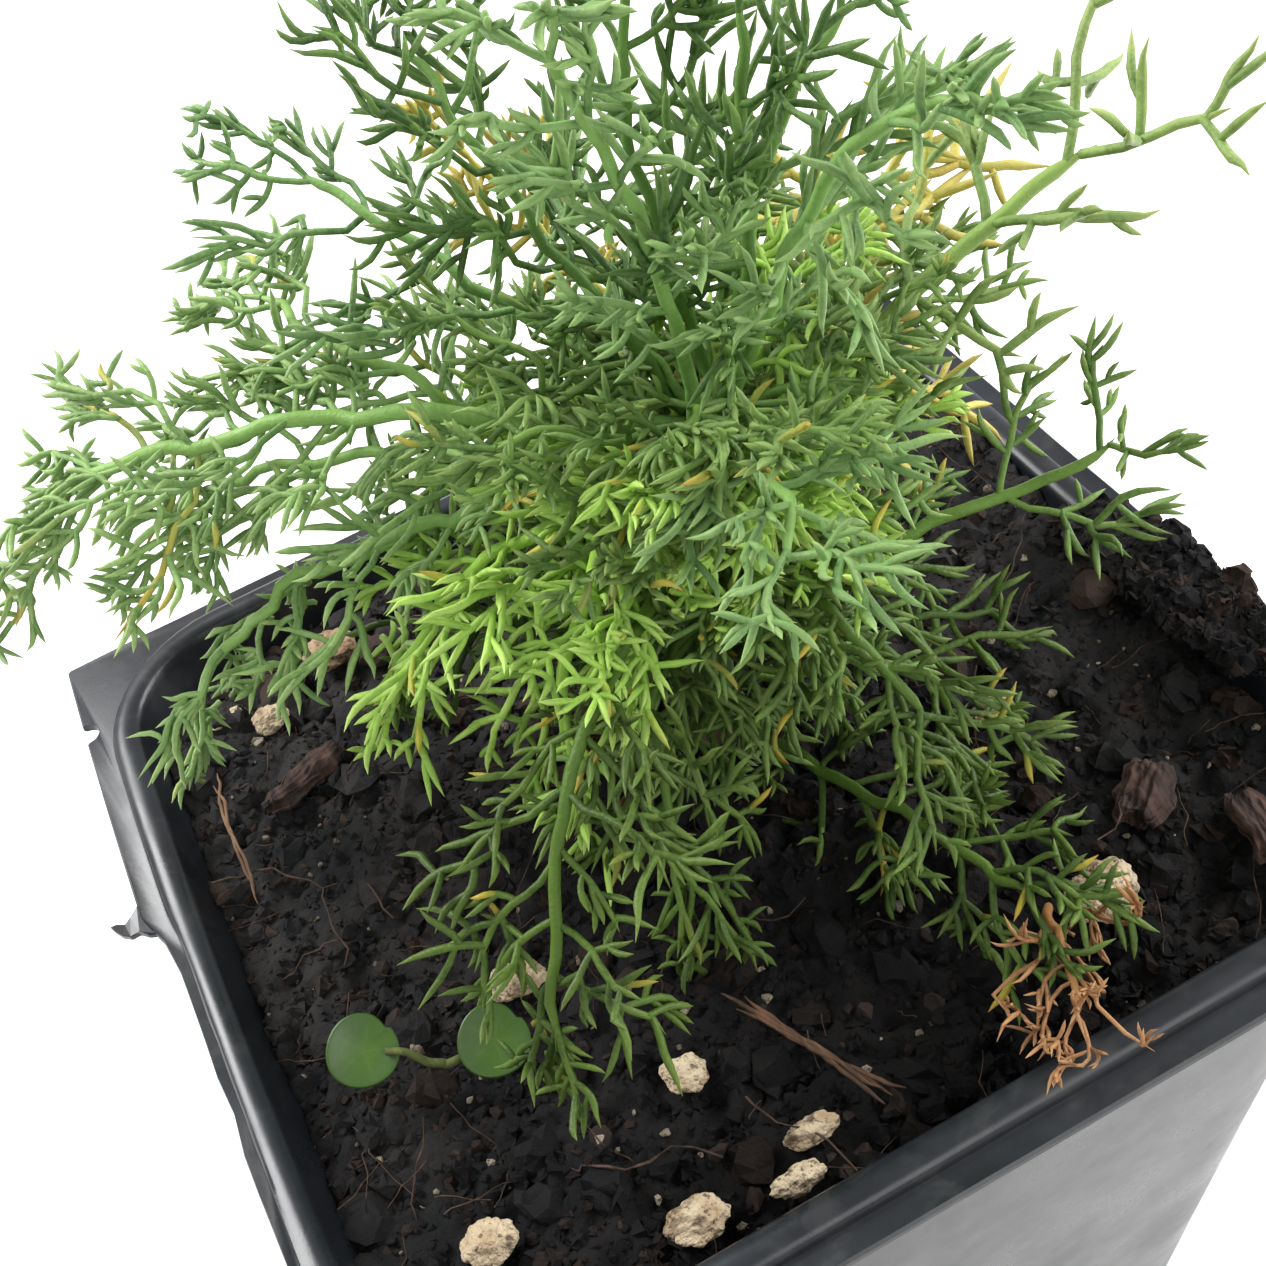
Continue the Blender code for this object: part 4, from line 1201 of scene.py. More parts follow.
def fibres_group():
    """Fine roots and threads that lie bent over a surface."""
    inputs = [("Ground", SHAPE, None), ("Density", FLOAT, 40000.0), ("Shortest", FLOAT, 0.002),
              ("Longest", FLOAT, 0.009), ("Thickness", FLOAT, 0.0001), ("Lift", FLOAT, 0.0005),
              ("Arch", FLOAT, 0.12), ("Tangle", FLOAT, 0.003), ("Seed", WHOLE, 0),
              ("Finish", FINISH, None)]
    wiring, give, out = new_group("fibres", "GeometryNodeTree", inputs, [("Fibres", SHAPE)])
    g = give.outputs
    spots, points = spots_on(wiring, g, 8)
    normal = spots.outputs["Normal"]
    aim = chance_vector(wiring, (-1, -1, -1), (1, 1, 1), g["Seed"])
    along = wiring.vector("NORMALIZE", wiring.vector("CROSS_PRODUCT", aim, normal))
    turned = wiring.add("FunctionNodeAxesToRotation", {
        "Primary Axis": along, "Secondary Axis": normal}, primary_axis="Z", secondary_axis="Y")
    line = wiring.add("GeometryNodeCurvePrimitiveLine", {"Start": (0, 0, -0.5), "End": (0, 0, 0.5)})
    line = wiring.add("GeometryNodeResampleCurve", {"Curve": line, "Count": 9})
    height = wiring.add("ShaderNodeSeparateXYZ", {0: wiring.add("GeometryNodeInputPosition")})
    arch = wiring.minus(0.2, wiring.power(height.outputs[2], 2.0))
    line = wiring.moved(line, wiring.combine(0.0, wiring.times(arch, g["Arch"]), 0.0))
    long = chance(wiring, g["Shortest"], g["Longest"], g["Seed"], 9)
    real = strewn(wiring, points, line, turned, wiring.combine(long, long, long))
    push = wiring.vector("MULTIPLY", wiring.sway(260.0, 2.0), (1.0, 1.0, 0.25))
    real = wiring.moved(real, wiring.scaled(push, g["Tangle"]))
    thick = wiring.times(g["Thickness"], chance(wiring, 0.5, 1.3, g["Seed"], 10))
    skin = skinned(wiring, real, thick, 3)
    smooth = wiring.add("GeometryNodeSetShadeSmooth", {"Geometry": skin})
    return end_tree(wiring, out, smooth, g["Finish"])


def strew(ground, tree, rows):
    """Grows a piece for each row on the ground: its name, slot, material and values."""
    for name, slot, finish, values in rows:
        settle(grown(name, ground.copy(), tree, {**values, "Finish": finish}), slot)


class ChamomileSoilLooks(PropertyGroup):
    """Colours and coarseness of the compost."""

    soil_dark: FloatVectorProperty(name="Dark", description="Colour of the damp compost",
                                   subtype="COLOR", default=(0.0076, 0.0079, 0.0084), min=0, max=1)
    soil_light: FloatVectorProperty(name="Brown", description="Colour of the drier patches",
                                    subtype="COLOR", default=(0.0160, 0.0148, 0.0145), min=0, max=1)
    crumb_size: FloatProperty(name="Crumb size", description="Width of the largest crumbs",
                              subtype="DISTANCE", unit="LENGTH", default=1.15 * MM, min=0.2 * MM)
    crumb_density: FloatProperty(name="Crumbs", description="Crumbs on each square centimetre",
                                 default=125.0, min=0, max=300)


class CHAMOMILE_OT_soil(Operator):
    """Build the compost, its crumbs and the fibres in it"""

    bl_idname = "chamomile.soil"
    bl_label = "Soil"

    def execute(self, context):
        looks = context.scene.chamomile_soil
        finish = soil_material("dark_compost", looks)
        shape = soil_mesh(ground_tree())
        shape.normal_update()
        skin = shape.copy()
        hidden = [face for face in skin.faces if face.normal.z < 0.3
                  or face.calc_center_median().z < POT_HEIGHT / 2]
        bmesh.ops.delete(skin, geom=hidden, context="FACES")
        ground = mesh_from(skin)
        finish_mesh("fine_soil", mesh_from(shape), finish, "soil", "potting_soil")
        bark = woody_material("shredded_bark", (0.006, 0.004, 0.0035), (0.034, 0.020, 0.014))
        grit = mineral_material("fine_grit", (0.30, 0.26, 0.20), (0.13, 0.10, 0.07),
                                (0.04, 0.028, 0.020))
        thread = woody_material("dry_root", (0.014, 0.008, 0.006), (0.10, 0.058, 0.036))
        crumbs = once("crumbs", crumbs_group)
        size = looks.crumb_size
        strew(ground, crumbs, (
            ("soil_crumbs", "soil", finish, {
                "Density": looks.crumb_density * 1e4, "Smallest": 0.25 * size, "Largest": size,
                "Seed": 3}),
            ("soil_clods", "soil", finish, {
                "Density": 85000.0, "Smallest": 1.1 * size, "Largest": 3.6 * size,
                "Rarity": 2.8, "Rounds": 2, "Roughen": 0.0014, "Seed": 11}),
            ("bark_flakes", "bark", bark, {
                "Density": 60000.0, "Smallest": 0.4 * MM, "Largest": 1.9 * MM, "Rarity": 3.5,
                "Flatness": 0.40, "Lift": 0.15 * MM, "Roughen": 0.0006, "Seed": 21}),
            ("fine_grit", "perlite", grit, {
                "Density": 30000.0, "Smallest": 0.3 * MM, "Largest": 1.1 * MM, "Rarity": 3.0,
                "Lift": 0.15 * MM, "Seed": 31})))
        strew(ground, once("fibres", fibres_group), (
            ("root_fibres", "dry_stalk", thread, {
                "Density": 22000.0, "Thickness": 0.06 * MM, "Lift": 0.9 * MM, "Seed": 41}),
            ("long_roots", "dry_stalk", thread, {
                "Density": 2400.0, "Shortest": 6 * MM, "Longest": 12 * MM,
                "Thickness": 0.12 * MM, "Tangle": 0.006, "Lift": 1.3 * MM, "Seed": 43})))
        self.rim_crumbs(finish, crumbs)
        return {"FINISHED"}

    def rim_crumbs(self, finish, crumbs):
        """Compost pushed over the right-hand rim."""
        low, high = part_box("soil_on_rim")
        middle = (low + high) / 2
        shape = bmesh.new()
        bmesh.ops.create_icosphere(shape, subdivisions=6, radius=0.5)
        size = high - low
        for vert in shape.verts:
            along = vert.co.y * size.y
            heap = 0.60 + 1.1 * fractal(Vector((along, 0, 3)), 260, 2)
            lump = 1 + 0.45 * fractal(vert.co + Vector((5, 2, 1)), 4.0, 4)
            flat = vert.co * lump
            rise = max(flat.z * heap, -0.08)
            sway = 0.16 * fractal(Vector((along, 7, 3)), 210, 2)
            at = Vector(((flat.x * 1.25 + sway - 0.08) * size.x, flat.y * size.y, rise * size.z))
            grit = 0.6 * MM * fractal(at, 700, 3)
            vert.co = Vector((middle.x, middle.y, low.z - 0.3 * MM)) + at + vert.co.normalized() * grit
        heap = mesh_from(shape)
        ground = heap.copy()
        finish_mesh("rim_compost", heap, finish, "soil", "soil_on_rim")
        strew(ground, crumbs, (
            ("rim_crumbs", "soil", finish, {
                "Density": 2000000.0, "Smallest": 0.35 * MM, "Largest": 1.8 * MM, "Rarity": 3.0,
                "Roughen": 0.0009, "Seed": 51}),
            ("rim_clods", "soil", finish, {
                "Density": 300000.0, "Smallest": 1.0 * MM, "Largest": 3.0 * MM, "Rarity": 2.0,
                "Rounds": 3, "Roughen": 0.0014, "Seed": 53})))


# ---------------------------------------------------------------- grains, bark, strands

GRAIN_NODES = ["perlite_front_big", "perlite_front_corner", "perlite_front_crescent",
               "perlite_front_oval", "perlite_front_round", "perlite_left_edge",
               "perlite_left_large", "perlite_left_small", "perlite_right_brown",
               "perlite_right_large", "perlite_under_leaf"]
BROWN_GRAINS = ("perlite_left_large", "perlite_right_brown")
BARK_NODES = ("bark_left", "bark_right", "bark_right_corner")


class CHAMOMILE_OT_grains(Operator):
    """Build the porous grains that lie in the soil"""

    bl_idname = "chamomile.grains"
    bl_label = "Perlite grains"

    def execute(self, context):
        stain = (0.050, 0.032, 0.020)
        pale = mineral_material("pale_perlite", (0.54, 0.45, 0.31), (0.36, 0.26, 0.16), stain)
        brown = mineral_material("stained_perlite", (0.40, 0.29, 0.18), (0.24, 0.15, 0.09), stain)
        for index, node in enumerate(GRAIN_NODES):
            low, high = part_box(node)
            centre = (low + high) / 2
            size = high - low
            shape = bmesh.new()
            bmesh.ops.create_icosphere(shape, subdivisions=5, radius=0.5)
            salt = Vector((index * 3.1, index * 1.7, 0))
            for vert in shape.verts:
                lump = 1 + 0.30 * fractal(vert.co + salt, 2.2, 3)
                pits = abs(fractal(vert.co + salt, 7, 2))
                lump += 0.02 - 0.13 * max(0.0, 0.25 - pits)
                at = vert.co * lump
                vert.co = centre + Vector((at.x * size.x, at.y * size.y, at.z * size.z * 1.25))
                vert.co.z -= 0.10 * size.z
            finish = brown if node in BROWN_GRAINS else pale
            name = node.replace("perlite", "grain")
            finish_mesh(name, mesh_from(shape), finish, "perlite", node)
        return {"FINISHED"}


class CHAMOMILE_OT_bark(Operator):
    """Build the bark chips"""

    bl_idname = "chamomile.bark"
    bl_label = "Bark chips"

    def execute(self, context):
        finish = woody_material("bark_chip", (0.010, 0.006, 0.005), (0.095, 0.052, 0.040))
        for index, node in enumerate(BARK_NODES):
            shape = merged(node)
            bmesh.ops.dissolve_limit(shape, angle_limit=0.02, verts=shape.verts, edges=shape.edges)
            bmesh.ops.subdivide_edges(shape, edges=shape.edges[:], cuts=22, use_grid_fill=True)
            points = np.array([vert.co for vert in shape.verts])
            middle = Vector(points.mean(0))
            axes = [Vector(row) for row in np.linalg.svd(points - points.mean(0), full_matrices=False)[2]]
            spans = [max(abs((vert.co - middle).dot(axis)) for vert in shape.verts) for axis in axes]
            shape.normal_update()
            for vert in shape.verts:
                local = vert.co - middle
                along, across, up = (local.dot(axis) for axis in axes)
                reach = along / spans[0] + 0.35 * fractal(Vector((across, index, 1)), 500, 2)
                narrow = 1 - 0.45 * min(1.0, abs(reach)) ** 4
                flat = narrow * (1 + 0.4 * fractal(Vector((along, index, 4)), 420, 2))
                thin = 1 - 0.75 * (abs(across) / spans[1]) ** 2.5 * 0.8
                ragged = fractal(Vector((along * 0.3, across, up)), 900, 4)
                flake = fractal(Vector((along, across * 2.5, index)), 300, 3)
                place_at = middle + axes[0] * along + axes[1] * across * flat + axes[2] * up * thin
                vert.co = place_at + vert.normal * (0.45 * MM * ragged + 0.40 * MM * flake)
            finish_mesh(f"chip_{node}", mesh_from(shape), finish, "bark", node)
        return {"FINISHED"}


class CHAMOMILE_OT_strands(Operator):
    """Build the split straw and the thin twig on the soil"""

    bl_idname = "chamomile.strands"
    bl_label = "Straw and twig"

    def execute(self, context):
        dark = woody_material("dry_straw", (0.022, 0.012, 0.008), (0.14, 0.075, 0.040))
        tan = woody_material("dry_twig", (0.075, 0.040, 0.022), (0.26, 0.16, 0.090))
        for node, rings, count, radius, spread, finish in (
                ("straw", 6, 5, 0.19 * MM, 0.50 * MM, dark), ("twig", 7, 2, 0.15 * MM, 0.16 * MM, tan)):
            mesh = self.bundle(node, rings, count, radius, spread)
            finish_mesh(f"dry_{node}", mesh, finish, "dry_stalk", node)
        return {"FINISHED"}

    def bundle(self, node, rings, count, radius, spread):
        """Thin fibres side by side along a strand, splayed at its ends."""
        line = smooth_line(strand_line(node, rings), 70)
        whole = bmesh.new()
        for fibre in range(count):
            turn = 2 * math.pi * fibre / count
            first = 2 + (fibre * 5) % 9
            last = len(line) - 1 - (fibre * 7) % 11
            points, radii = [], []
            for index in range(first, last):
                share = index / (len(line) - 1)
                splay = spread * (0.35 + 1.6 * abs(2 * share - 1) ** 3)
                wave = 0.35 * MM * fractal(line[index] + Vector((fibre, 0, 0)), 200, 3)
                side = math.cos(turn + 2 * share) * splay + wave
                lift = 0.45 * MM + math.sin(turn + 2 * share) * splay * 0.4
                points.append(line[index] + Vector((side, 0.3 * side, lift)))
                ends = min(1.0, 0.25 + 8 * min(index - first, last - 1 - index) / len(line))
                radii.append(radius * ends * (1 + 0.3 * fractal(line[index], 600, 2)))
            mesh = mesh_from(tube(points, radii, 10, 4, 0.15))
            whole.from_mesh(mesh)
            bpy.data.meshes.remove(mesh)
        return mesh_from(whole)


# ---------------------------------------------------------------- plant

class ChamomileLeafLooks(PropertyGroup):
    """Sizes of the feathery leaves."""

    blade_width: FloatProperty(name="Segment width", description="Width of a leaf segment",
                               subtype="DISTANCE", unit="LENGTH", default=0.64 * MM, min=0.1 * MM)
    segment_length: FloatProperty(name="Segment length", description="Length of a leaf segment",
                                  subtype="DISTANCE", unit="LENGTH", default=5.6 * MM, min=1 * MM)
    lobe_length: FloatProperty(name="Lobe length", description="Length of a forked lobe",
                               subtype="DISTANCE", unit="LENGTH", default=4.1 * MM, min=0.5 * MM)
    segments: IntProperty(name="Segments", description="Pairs of segments on each pinna",
                          default=3, min=1, max=8)


# Young leaves: name, tone, count, lowest and highest share of the stem, length in mm, seed
YOUNG_LEAVES = (
    ("young_low", "mid", 14, 0.10, 0.60, 15.0, 301),
    ("young_middle", "bright", 14, 0.45, 0.95, 15.0, 302),
    ("young_top", "mid", 10, 0.75, 1.00, 18.0, 303),
)
GOLDEN_TURN = math.radians(137.5)

# The yellowed tuft behind the plant: where its midrib bends and ends
TUFT_BEND = Vector((12, 22, 105)) * MM
TUFT_END = Vector((3, 24, 127)) * MM

STEM_ROWS = stem_line(40)
STEM_POINTS = np.array([row[0] for row in STEM_ROWS])


class CHAMOMILE_OT_stem(Operator):
    """Build the ribbed main stem"""

    bl_idname = "chamomile.stem"
    bl_label = "Stem"

    def execute(self, context):
        points = [Vector(row[0]) for row in STEM_ROWS]
        radii = [row[1] for row in STEM_ROWS]
        points.insert(0, points[0] - Vector((0, 0, 2.5 * MM)))
        radii.insert(0, radii[0] * 1.25)
        radii = [radius * (1 + 0.07 * fractal(point, 220, 2)) for point, radius in zip(points, radii)]
        top = points[-1]
        ahead = (points[-1] - points[-3]).normalized()
        points += [top + ahead * 0.5 * MM, top + ahead * 0.9 * MM]
        radii += [radii[-1] * 0.8, radii[-1] * 0.35]
        mesh = mesh_from(tube(points, radii, 40, 8, 0.06))
        share = mesh.attributes.new("height_share", "FLOAT", "POINT")
        low, high = points[0].z, points[-1].z
        for vert in mesh.vertices:
            share.data[vert.index].value = (vert.co.z - low) / (high - low)
        finish_mesh("ribbed_stem", mesh, stem_material("green_stem"), "stem", "main_stem")
        return {"FINISHED"}


def arched(root, bend, end):
    """Points of a short curve from its root past its bend to its end."""
    return [root.lerp(bend, t).lerp(bend.lerp(end, t), t) for t in np.linspace(0, 1, 18)]


def leaf_points(node):
    """Midrib of one leaf, from inside the stem to its tip, and its sideways direction."""
    controls = leaf_line(node, STEM_POINTS)
    reach = LEAF_REACH.get(node, USUAL_REACH)
    line = [Vector(point) for point in bernstein(np.linspace(0, reach, 26)) @ controls]
    gaps = np.linalg.norm(STEM_POINTS - np.array(line[0]), axis=1)
    root = Vector(STEM_POINTS[gaps.argmin()])
    line.insert(0, line[0].lerp(root, 0.55))
    heading = line[-1] - line[1]
    side = Vector((-heading.y, heading.x, 0)).normalized()
    return line, side


class CHAMOMILE_OT_leaves(Operator):
    """Build the feathery leaves, one piece for each"""

    bl_idname = "chamomile.leaves"
    bl_label = "Leaves"

    def execute(self, context):
        looks = context.scene.chamomile_leaves
        tree = leaf_tree()
        for number, (node, settings) in enumerate(LEAF_LOOKS.items()):
            tone, style, bare, gap, pinna, droop, roll, thick = settings
            more, segment, lobe, width, fade, curl, crinkle = LEAF_STYLES[style]
            line, side = leaf_points(node)
            length = sum((after - before).length for before, after in zip(line, line[1:]))
            pairs = max(3, round((1 - bare) * length / (gap * MM)))
            heading = (line[-1] - line[1]).normalized()
            side = Quaternion(heading, roll) @ side
            slot = "yellow_leaf" if tone == "yellow" else "green_leaf"
            leaf = grown(node.replace("leaf_", "frond_"), line_mesh(node, [(line, side)]), tree, {
                "Bare Share": bare, "Pinna Pairs": pairs, "Midrib Radius": thick * MM,
                "Pinna Length": pinna * MM, "Segment Pairs": looks.segments + more,
                "Segment Length": segment * looks.segment_length,
                "Lobe Length": lobe * looks.lobe_length, "Fade": fade, "Curl": curl,
                "Blade Radius": width * looks.blade_width / 2, "Droop": droop,
                "Seed": 100 + 7 * number, "Crinkle": crinkle * MM,
                "Finish": leaf_material(tone)})
            settle(leaf, slot, node)
        return {"FINISHED"}


class CHAMOMILE_OT_young_leaves(Operator):
    """Build the short young leaves that fill the axils along the stem"""

    bl_idname = "chamomile.young_leaves"
    bl_label = "Young leaves"

    def execute(self, context):
        looks = context.scene.chamomile_leaves
        tree = leaf_tree()
        for name, tone, count, lowest, highest, longest, seed in YOUNG_LEAVES:
            lines = [self.young_line(index, count, lowest, highest, longest, seed)
                     for index in range(count)]
            leaves = grown(name, line_mesh(name, lines), tree, {
                "Bare Share": 0.22, "Pinna Pairs": 5, "Pinna Length": 7.0 * MM,
                "Midrib Radius": 0.36 * MM, "Segment Pairs": looks.segments,
                "Segment Length": 0.85 * looks.segment_length,
                "Lobe Length": 0.85 * looks.lobe_length,
                "Blade Radius": 0.45 * looks.blade_width, "Roll": 0.8, "Seed": seed,
                "Finish": leaf_material(tone)})
            settle(leaves, "green_leaf")
        line = arched(Vector(STEM_POINTS[-1]), TUFT_BEND, TUFT_END)
        tuft = grown("yellow_tuft", line_mesh("tuft", [(line, Vector((1, 0, 0)))]), tree, {
            "Bare Share": 0.60, "Pinna Pairs": 4, "Pinna Length": 6.0 * MM, "Midrib Radius": 0.40 * MM,
            "Segment Pairs": 2, "Segment Length": 0.9 * looks.segment_length,
            "Lobe Length": 0.9 * looks.lobe_length, "Blade Radius": 0.5 * looks.blade_width,
            "Seed": 304, "Finish": leaf_material("yellow")})
        settle(tuft, "yellow_leaf")
        return {"FINISHED"}

    def young_line(self, index, count, lowest, highest, longest, seed):
        """Midrib of one young leaf: out of the stem, rising and then arching over."""
        share = lowest + (highest - lowest) * (index + 0.5) / count
        root = Vector(STEM_POINTS[round(share * (len(STEM_POINTS) - 1))])
        turn = GOLDEN_TURN * index + seed
        length = longest * MM * (0.75 + 0.25 * math.cos(5 * turn + seed))
        out = Vector((math.cos(turn), math.sin(turn), 0))
        rise = 0.35 + 0.45 * share + 0.2 * math.sin(3 * turn)
        middle = root + (out + Vector((0, 0, rise))) * length * 0.5
        end = root + (out + Vector((0, 0, rise * 0.9 - 0.1))) * length
        return arched(root, middle, end), Vector((-out.y, out.x, 0))


class CHAMOMILE_OT_dead_leaves(Operator):
    """Build the dried curl at the stem's foot and the dead leaf on the rim"""

    bl_idname = "chamomile.dead_leaves"
    bl_label = "Dead leaves"

    def execute(self, context):
        tree = leaf_tree()
        line, side = leaf_points("leaf_dried_curl")
        twisted = []
        for index, point in enumerate(line):
            share = index / (len(line) - 1)
            turn = 14 * share
            swing = 1.1 * MM * share
            twisted.append(point + side * swing * math.sin(turn) + Vector((0, 0, swing * math.cos(turn))))
        settle(grown("shrivelled_curl", line_mesh("curl", [(twisted, side)]), tree, {
            "Bare Share": 0.15, "Pinna Pairs": 10, "Pinna Length": 4.0 * MM,
            "Segment Pairs": 2, "Segment Length": 2.0 * MM, "Lobe Length": 1.2 * MM,
            "Midrib Radius": 0.5 * MM, "Blade Radius": 0.17 * MM, "Roll": 2.4, "Droop": 0.3,
            "Curl": 0.9, "Wobble": 0.0035, "Seed": 900,
            "Finish": leaf_material("husk")}), "dead_leaf", "leaf_dried_curl")
        controls = leaf_line("leaf_fallen_dead", np.array([self.inner_end()]))
        line = [Vector(point) for point in bernstein(np.linspace(0, 0.70, 26)) @ controls]
        heading = line[-1] - line[0]
        side = Vector((-heading.y, heading.x, 0)).normalized()
        crooked = [point + Vector((fractal(point, 120, 2), fractal(point, 150, 2), 0)) * 0.9 * MM
                   for point in line]
        settle(grown("fallen_frond", line_mesh("fallen", [(crooked, side)]), tree, {
            "Bare Share": 0.10, "Pinna Pairs": 6, "Pinna Length": 6.0 * MM,
            "Segment Pairs": 2, "Segment Length": 3.2 * MM, "Lobe Length": 2.4 * MM,
            "Lobes Kept": 0.9, "Midrib Radius": 0.36 * MM, "Blade Radius": 0.17 * MM,
            "Roll": 0.5, "Droop": -0.1, "Curl": 0.8, "Wobble": 0.0016, "Seed": 950,
            "Crinkle": 3.6 * MM,
            "Finish": leaf_material("dead")}), "dead_leaf", "leaf_fallen_dead")
        return {"FINISHED"}

    def inner_end(self):
        """The end of the fallen leaf that lies farthest back from the rim."""
        points = merged_points("leaf_fallen_dead")
        return points[points[:, 1].argmax()]


class CHAMOMILE_OT_seedling(Operator):
    """Build the small weed seedling by the left wall"""

    bl_idname = "chamomile.seedling"
    bl_label = "Seedling"

    def execute(self, context):
        finish = seedling_material("seed_leaf")
        stalk_finish = woody_material("seedling_stalk_skin", (0.050, 0.060, 0.018), (0.13, 0.16, 0.040))
        ends = []
        for node in ("seedling_leaf_left", "seedling_leaf_right"):
            points = merged_points(node)
            ends.append(Vector(points.mean(0)))
            middle = points.mean(0)
            axes = np.linalg.svd(points - middle, full_matrices=False)[2]
            up = Vector(axes[2])
            if up.z < 0:
                up.negate()
            radius = np.linalg.norm(points - middle, axis=1).max()
            blade = self.round_leaf(Vector(middle), up, float(radius))
            finish_mesh(f"fine_{node}", blade, finish, "seedling", node)
        line = [Vector(point) for point in strand_line("seedling_stalk", 5)]
        if (line[0] - ends[0]).length > (line[-1] - ends[0]).length:
            line.reverse()
        line = [ends[0].lerp(line[0], 0.55), *line, ends[1].lerp(line[-1], 0.55)]
        line = smooth_line(line, 60)
        radii = [0.30 * MM * (1 + 0.2 * fractal(point, 300, 2)) for point in line]
        stalk = mesh_from(tube(line, radii, 12))
        finish_mesh("fine_seedling_stalk", stalk, stalk_finish, "seedling", "seedling_stalk")
        return {"FINISHED"}

    def round_leaf(self, centre, up, radius):
        """Cupped round blade with a notch at its stalk and raised edges."""
        rings, steps = 18, 64
        across = up.orthogonal().normalized()
        other = up.cross(across)
        thickness = 0.28 * MM
        shape = bmesh.new()
        spans = []
        for layer in (1, -1):
            loops = []
            for ring in range(rings + 1):
                share = ring / rings
                loop = []
                for step in range(steps):
                    turn = 2 * math.pi * step / steps
                    notch = 1 - 0.10 * math.exp(-(((turn + 0.6) % (2 * math.pi)) / 0.35) ** 2)
                    reach = radius * share * notch * (1 + 0.025 * math.sin(3 * turn))
                    flat = across * math.cos(turn) * reach + other * math.sin(turn) * reach
                    cup = 0.16 * radius * share ** 2 - 0.05 * radius * math.cos(2 * turn) * share ** 2
                    edge = math.sqrt(max(0.0, 1 - share ** 6))
                    lift = cup + layer * thickness * 0.5 * edge
                    loop.append(centre + flat + up * lift)
                loops.append(loop)
            spans.append(loops)
        path = spans[0][1:] + spans[1][-2:0:-1]
        shape = lofted(path)
        mesh = mesh_from(shape)
        tip = mesh.attributes.new("tip_share", "FLOAT", "POINT")
        vein = mesh.attributes.new("vein", "FLOAT", "POINT")
        for vert in mesh.vertices:
            flat = vert.co - centre
            x, y = flat.dot(across), flat.dot(other)
            reach = min(1.0, math.hypot(x, y) / radius)
            turn = math.atan2(y, x)
            tip.data[vert.index].value = reach
            vein.data[vert.index].value = max(0.0, math.cos(5 * turn)) ** 12 * (1 - reach)
        return mesh


# ---------------------------------------------------------------- stage

FLOOR_REACH = 0.6

# Lamps: name, place, width in metres and share of the key light's strength
LAMPS = (("key_light", (-0.30, 0.36, 0.54), 0.35, 1.0),
         ("window_light", (0.62, 0.02, 0.42), 0.40, 0.9),
         ("front_fill", (0.25, -0.60, 0.45), 0.50, 0.40))

CAMERA_PLACE = (-0.0240, -0.0960, 0.1914)
CAMERA_AZIMUTH = math.radians(-13.3)
CAMERA_HEIGHT = math.radians(44.2)
CAMERA_ROLL = math.radians(-17.7)


class ChamomileStageLooks(PropertyGroup):
    """Floor, light and lens."""

    floor: FloatVectorProperty(name="Floor", description="Colour of the floor", subtype="COLOR",
                               default=(0.93, 0.925, 0.915), min=0, max=1)
    light: FloatProperty(name="Light", description="Strength of the soft key light", unit="POWER",
                         default=6.5, min=0)
    sky: FloatProperty(name="Surround", description="Strength of the even light from all round",
                       default=0.6, min=0)
    lens: FloatProperty(name="Lens", description="Focal length of the camera", unit="CAMERA",
                        default=51.0, min=20)


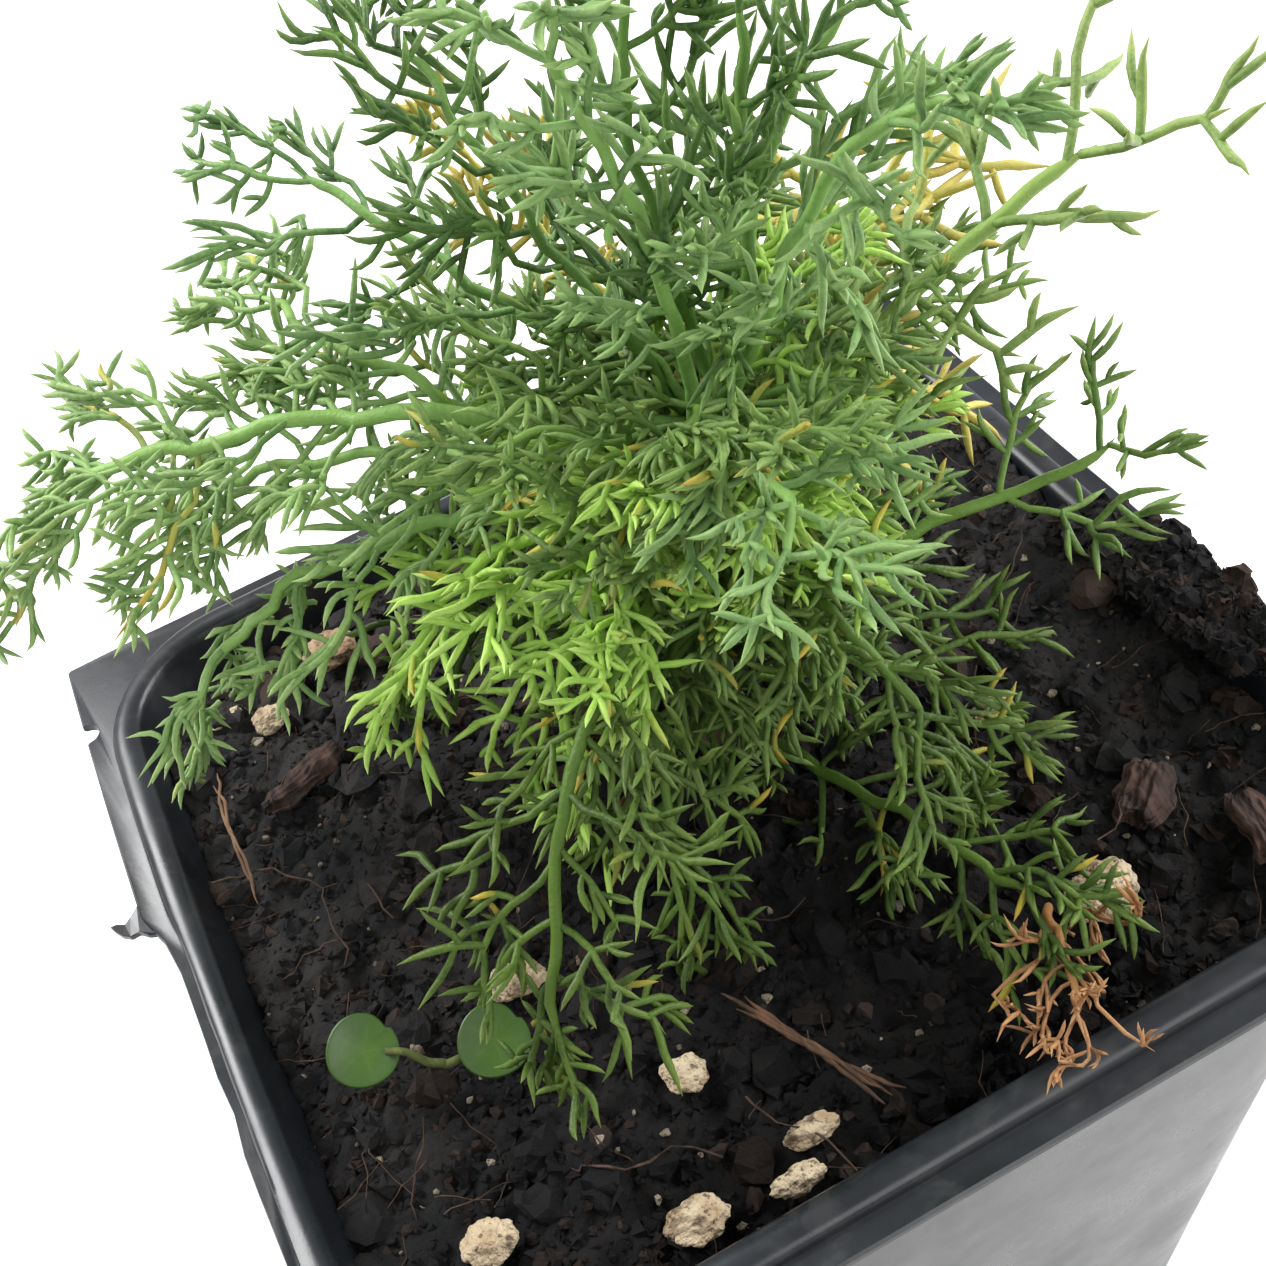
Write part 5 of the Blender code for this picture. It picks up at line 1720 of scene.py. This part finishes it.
class CHAMOMILE_OT_stage(Operator):
    """Build the pale floor, the soft lights and the camera"""

    bl_idname = "chamomile.stage"
    bl_label = "Stage"

    def execute(self, context):
        looks = context.scene.chamomile_stage
        shape = bmesh.new()
        bmesh.ops.create_grid(shape, x_segments=2, y_segments=2, size=FLOOR_REACH)
        floor = place("floor", mesh_from(shape))
        material, wiring, shader = new_material("pale_floor", Roughness=0.8)
        soft = patches(wiring, 6.0, 0.5, 0.4, 2.0)
        tone = tuple(looks.floor)
        under = tuple(channel * 0.985 for channel in tone)
        wiring.feed(shader.inputs["Base Color"], mixed(wiring, soft["Mask"], tone, under))
        floor.data.materials.append(material)
        world = bpy.data.worlds.new("even_white")
        world.use_nodes = True
        surround = Wiring(world.node_tree)
        background = world.node_tree.nodes["Background"]
        background.inputs["Color"].default_value = (1.0, 1.0, 1.0, 1)
        seen = surround.add("ShaderNodeLightPath").outputs["Is Camera Ray"]
        surround.feed(background.inputs["Strength"], surround.ranged(seen, low=looks.sky))
        context.scene.world = world
        target = Vector((0, 0, POT_HEIGHT))
        for name, at, size, share in LAMPS:
            lamp = bpy.data.lights.new(name, "AREA")
            lamp.energy = looks.light * share
            lamp.size = size
            light = bpy.data.objects.new(name, lamp)
            light.location = at
            light.rotation_euler = (target - Vector(at)).to_track_quat("-Z", "Y").to_euler()
            context.scene.collection.objects.link(light)
        self.camera(context, looks)
        context.scene.view_settings.view_transform = "Standard"
        return {"FINISHED"}

    def camera(self, context, looks):
        around, above = CAMERA_AZIMUTH, CAMERA_HEIGHT
        back = Vector((math.sin(around) * math.cos(above), -math.cos(around) * math.cos(above),
                       math.sin(above)))
        right = (-back).cross(Vector((0, 0, 1))).normalized()
        up = right.cross(-back)
        turn = Matrix.Rotation(CAMERA_ROLL, 3, back)
        right, up = turn @ right, turn @ up
        lens = bpy.data.cameras.new("camera")
        lens.lens = looks.lens
        lens.sensor_width = 36
        lens.clip_start = 0.005
        camera = bpy.data.objects.new("camera", lens)
        frame_turn = Matrix((right, up, back)).transposed().to_4x4()
        camera.matrix_world = Matrix.Translation(CAMERA_PLACE) @ frame_turn
        context.scene.collection.objects.link(camera)
        context.scene.camera = camera


# ---------------------------------------------------------------- panel and running

OPERATORS = (CHAMOMILE_OT_stage, CHAMOMILE_OT_pot, CHAMOMILE_OT_soil, CHAMOMILE_OT_grains,
             CHAMOMILE_OT_bark, CHAMOMILE_OT_strands, CHAMOMILE_OT_stem, CHAMOMILE_OT_leaves,
             CHAMOMILE_OT_young_leaves, CHAMOMILE_OT_dead_leaves, CHAMOMILE_OT_seedling)
LOOKS = (("chamomile_pot", ChamomilePotLooks), ("chamomile_soil", ChamomileSoilLooks),
         ("chamomile_leaves", ChamomileLeafLooks), ("chamomile_stage", ChamomileStageLooks))


class CHAMOMILE_PT_panel(Panel):
    """Sizes, colours and a button for each piece"""

    bl_idname = "CHAMOMILE_PT_panel"
    bl_label = "Potted Chamomile"
    bl_space_type = "VIEW_3D"
    bl_region_type = "UI"
    bl_category = "Chamomile"

    def draw(self, context):
        for key, _ in LOOKS:
            box = self.layout.box()
            looks = getattr(context.scene, key)
            for prop in looks.bl_rna.properties:
                if prop.identifier not in ("rna_type", "name"):
                    box.prop(looks, prop.identifier)
        for operator in OPERATORS:
            self.layout.operator(operator.bl_idname)


def register():
    for key, group in LOOKS:
        bpy.utils.register_class(group)
        setattr(bpy.types.Scene, key, PointerProperty(type=group))
    for kind in (*OPERATORS, CHAMOMILE_PT_panel):
        bpy.utils.register_class(kind)


def unregister():
    for kind in (CHAMOMILE_PT_panel, *reversed(OPERATORS)):
        bpy.utils.unregister_class(kind)
    for key, group in reversed(LOOKS):
        delattr(bpy.types.Scene, key)
        bpy.utils.unregister_class(group)


def main():
    register()
    for operator in OPERATORS:
        family, name = operator.bl_idname.split(".")
        getattr(getattr(bpy.ops, family), name)()


if __name__ == "__main__":
    main()
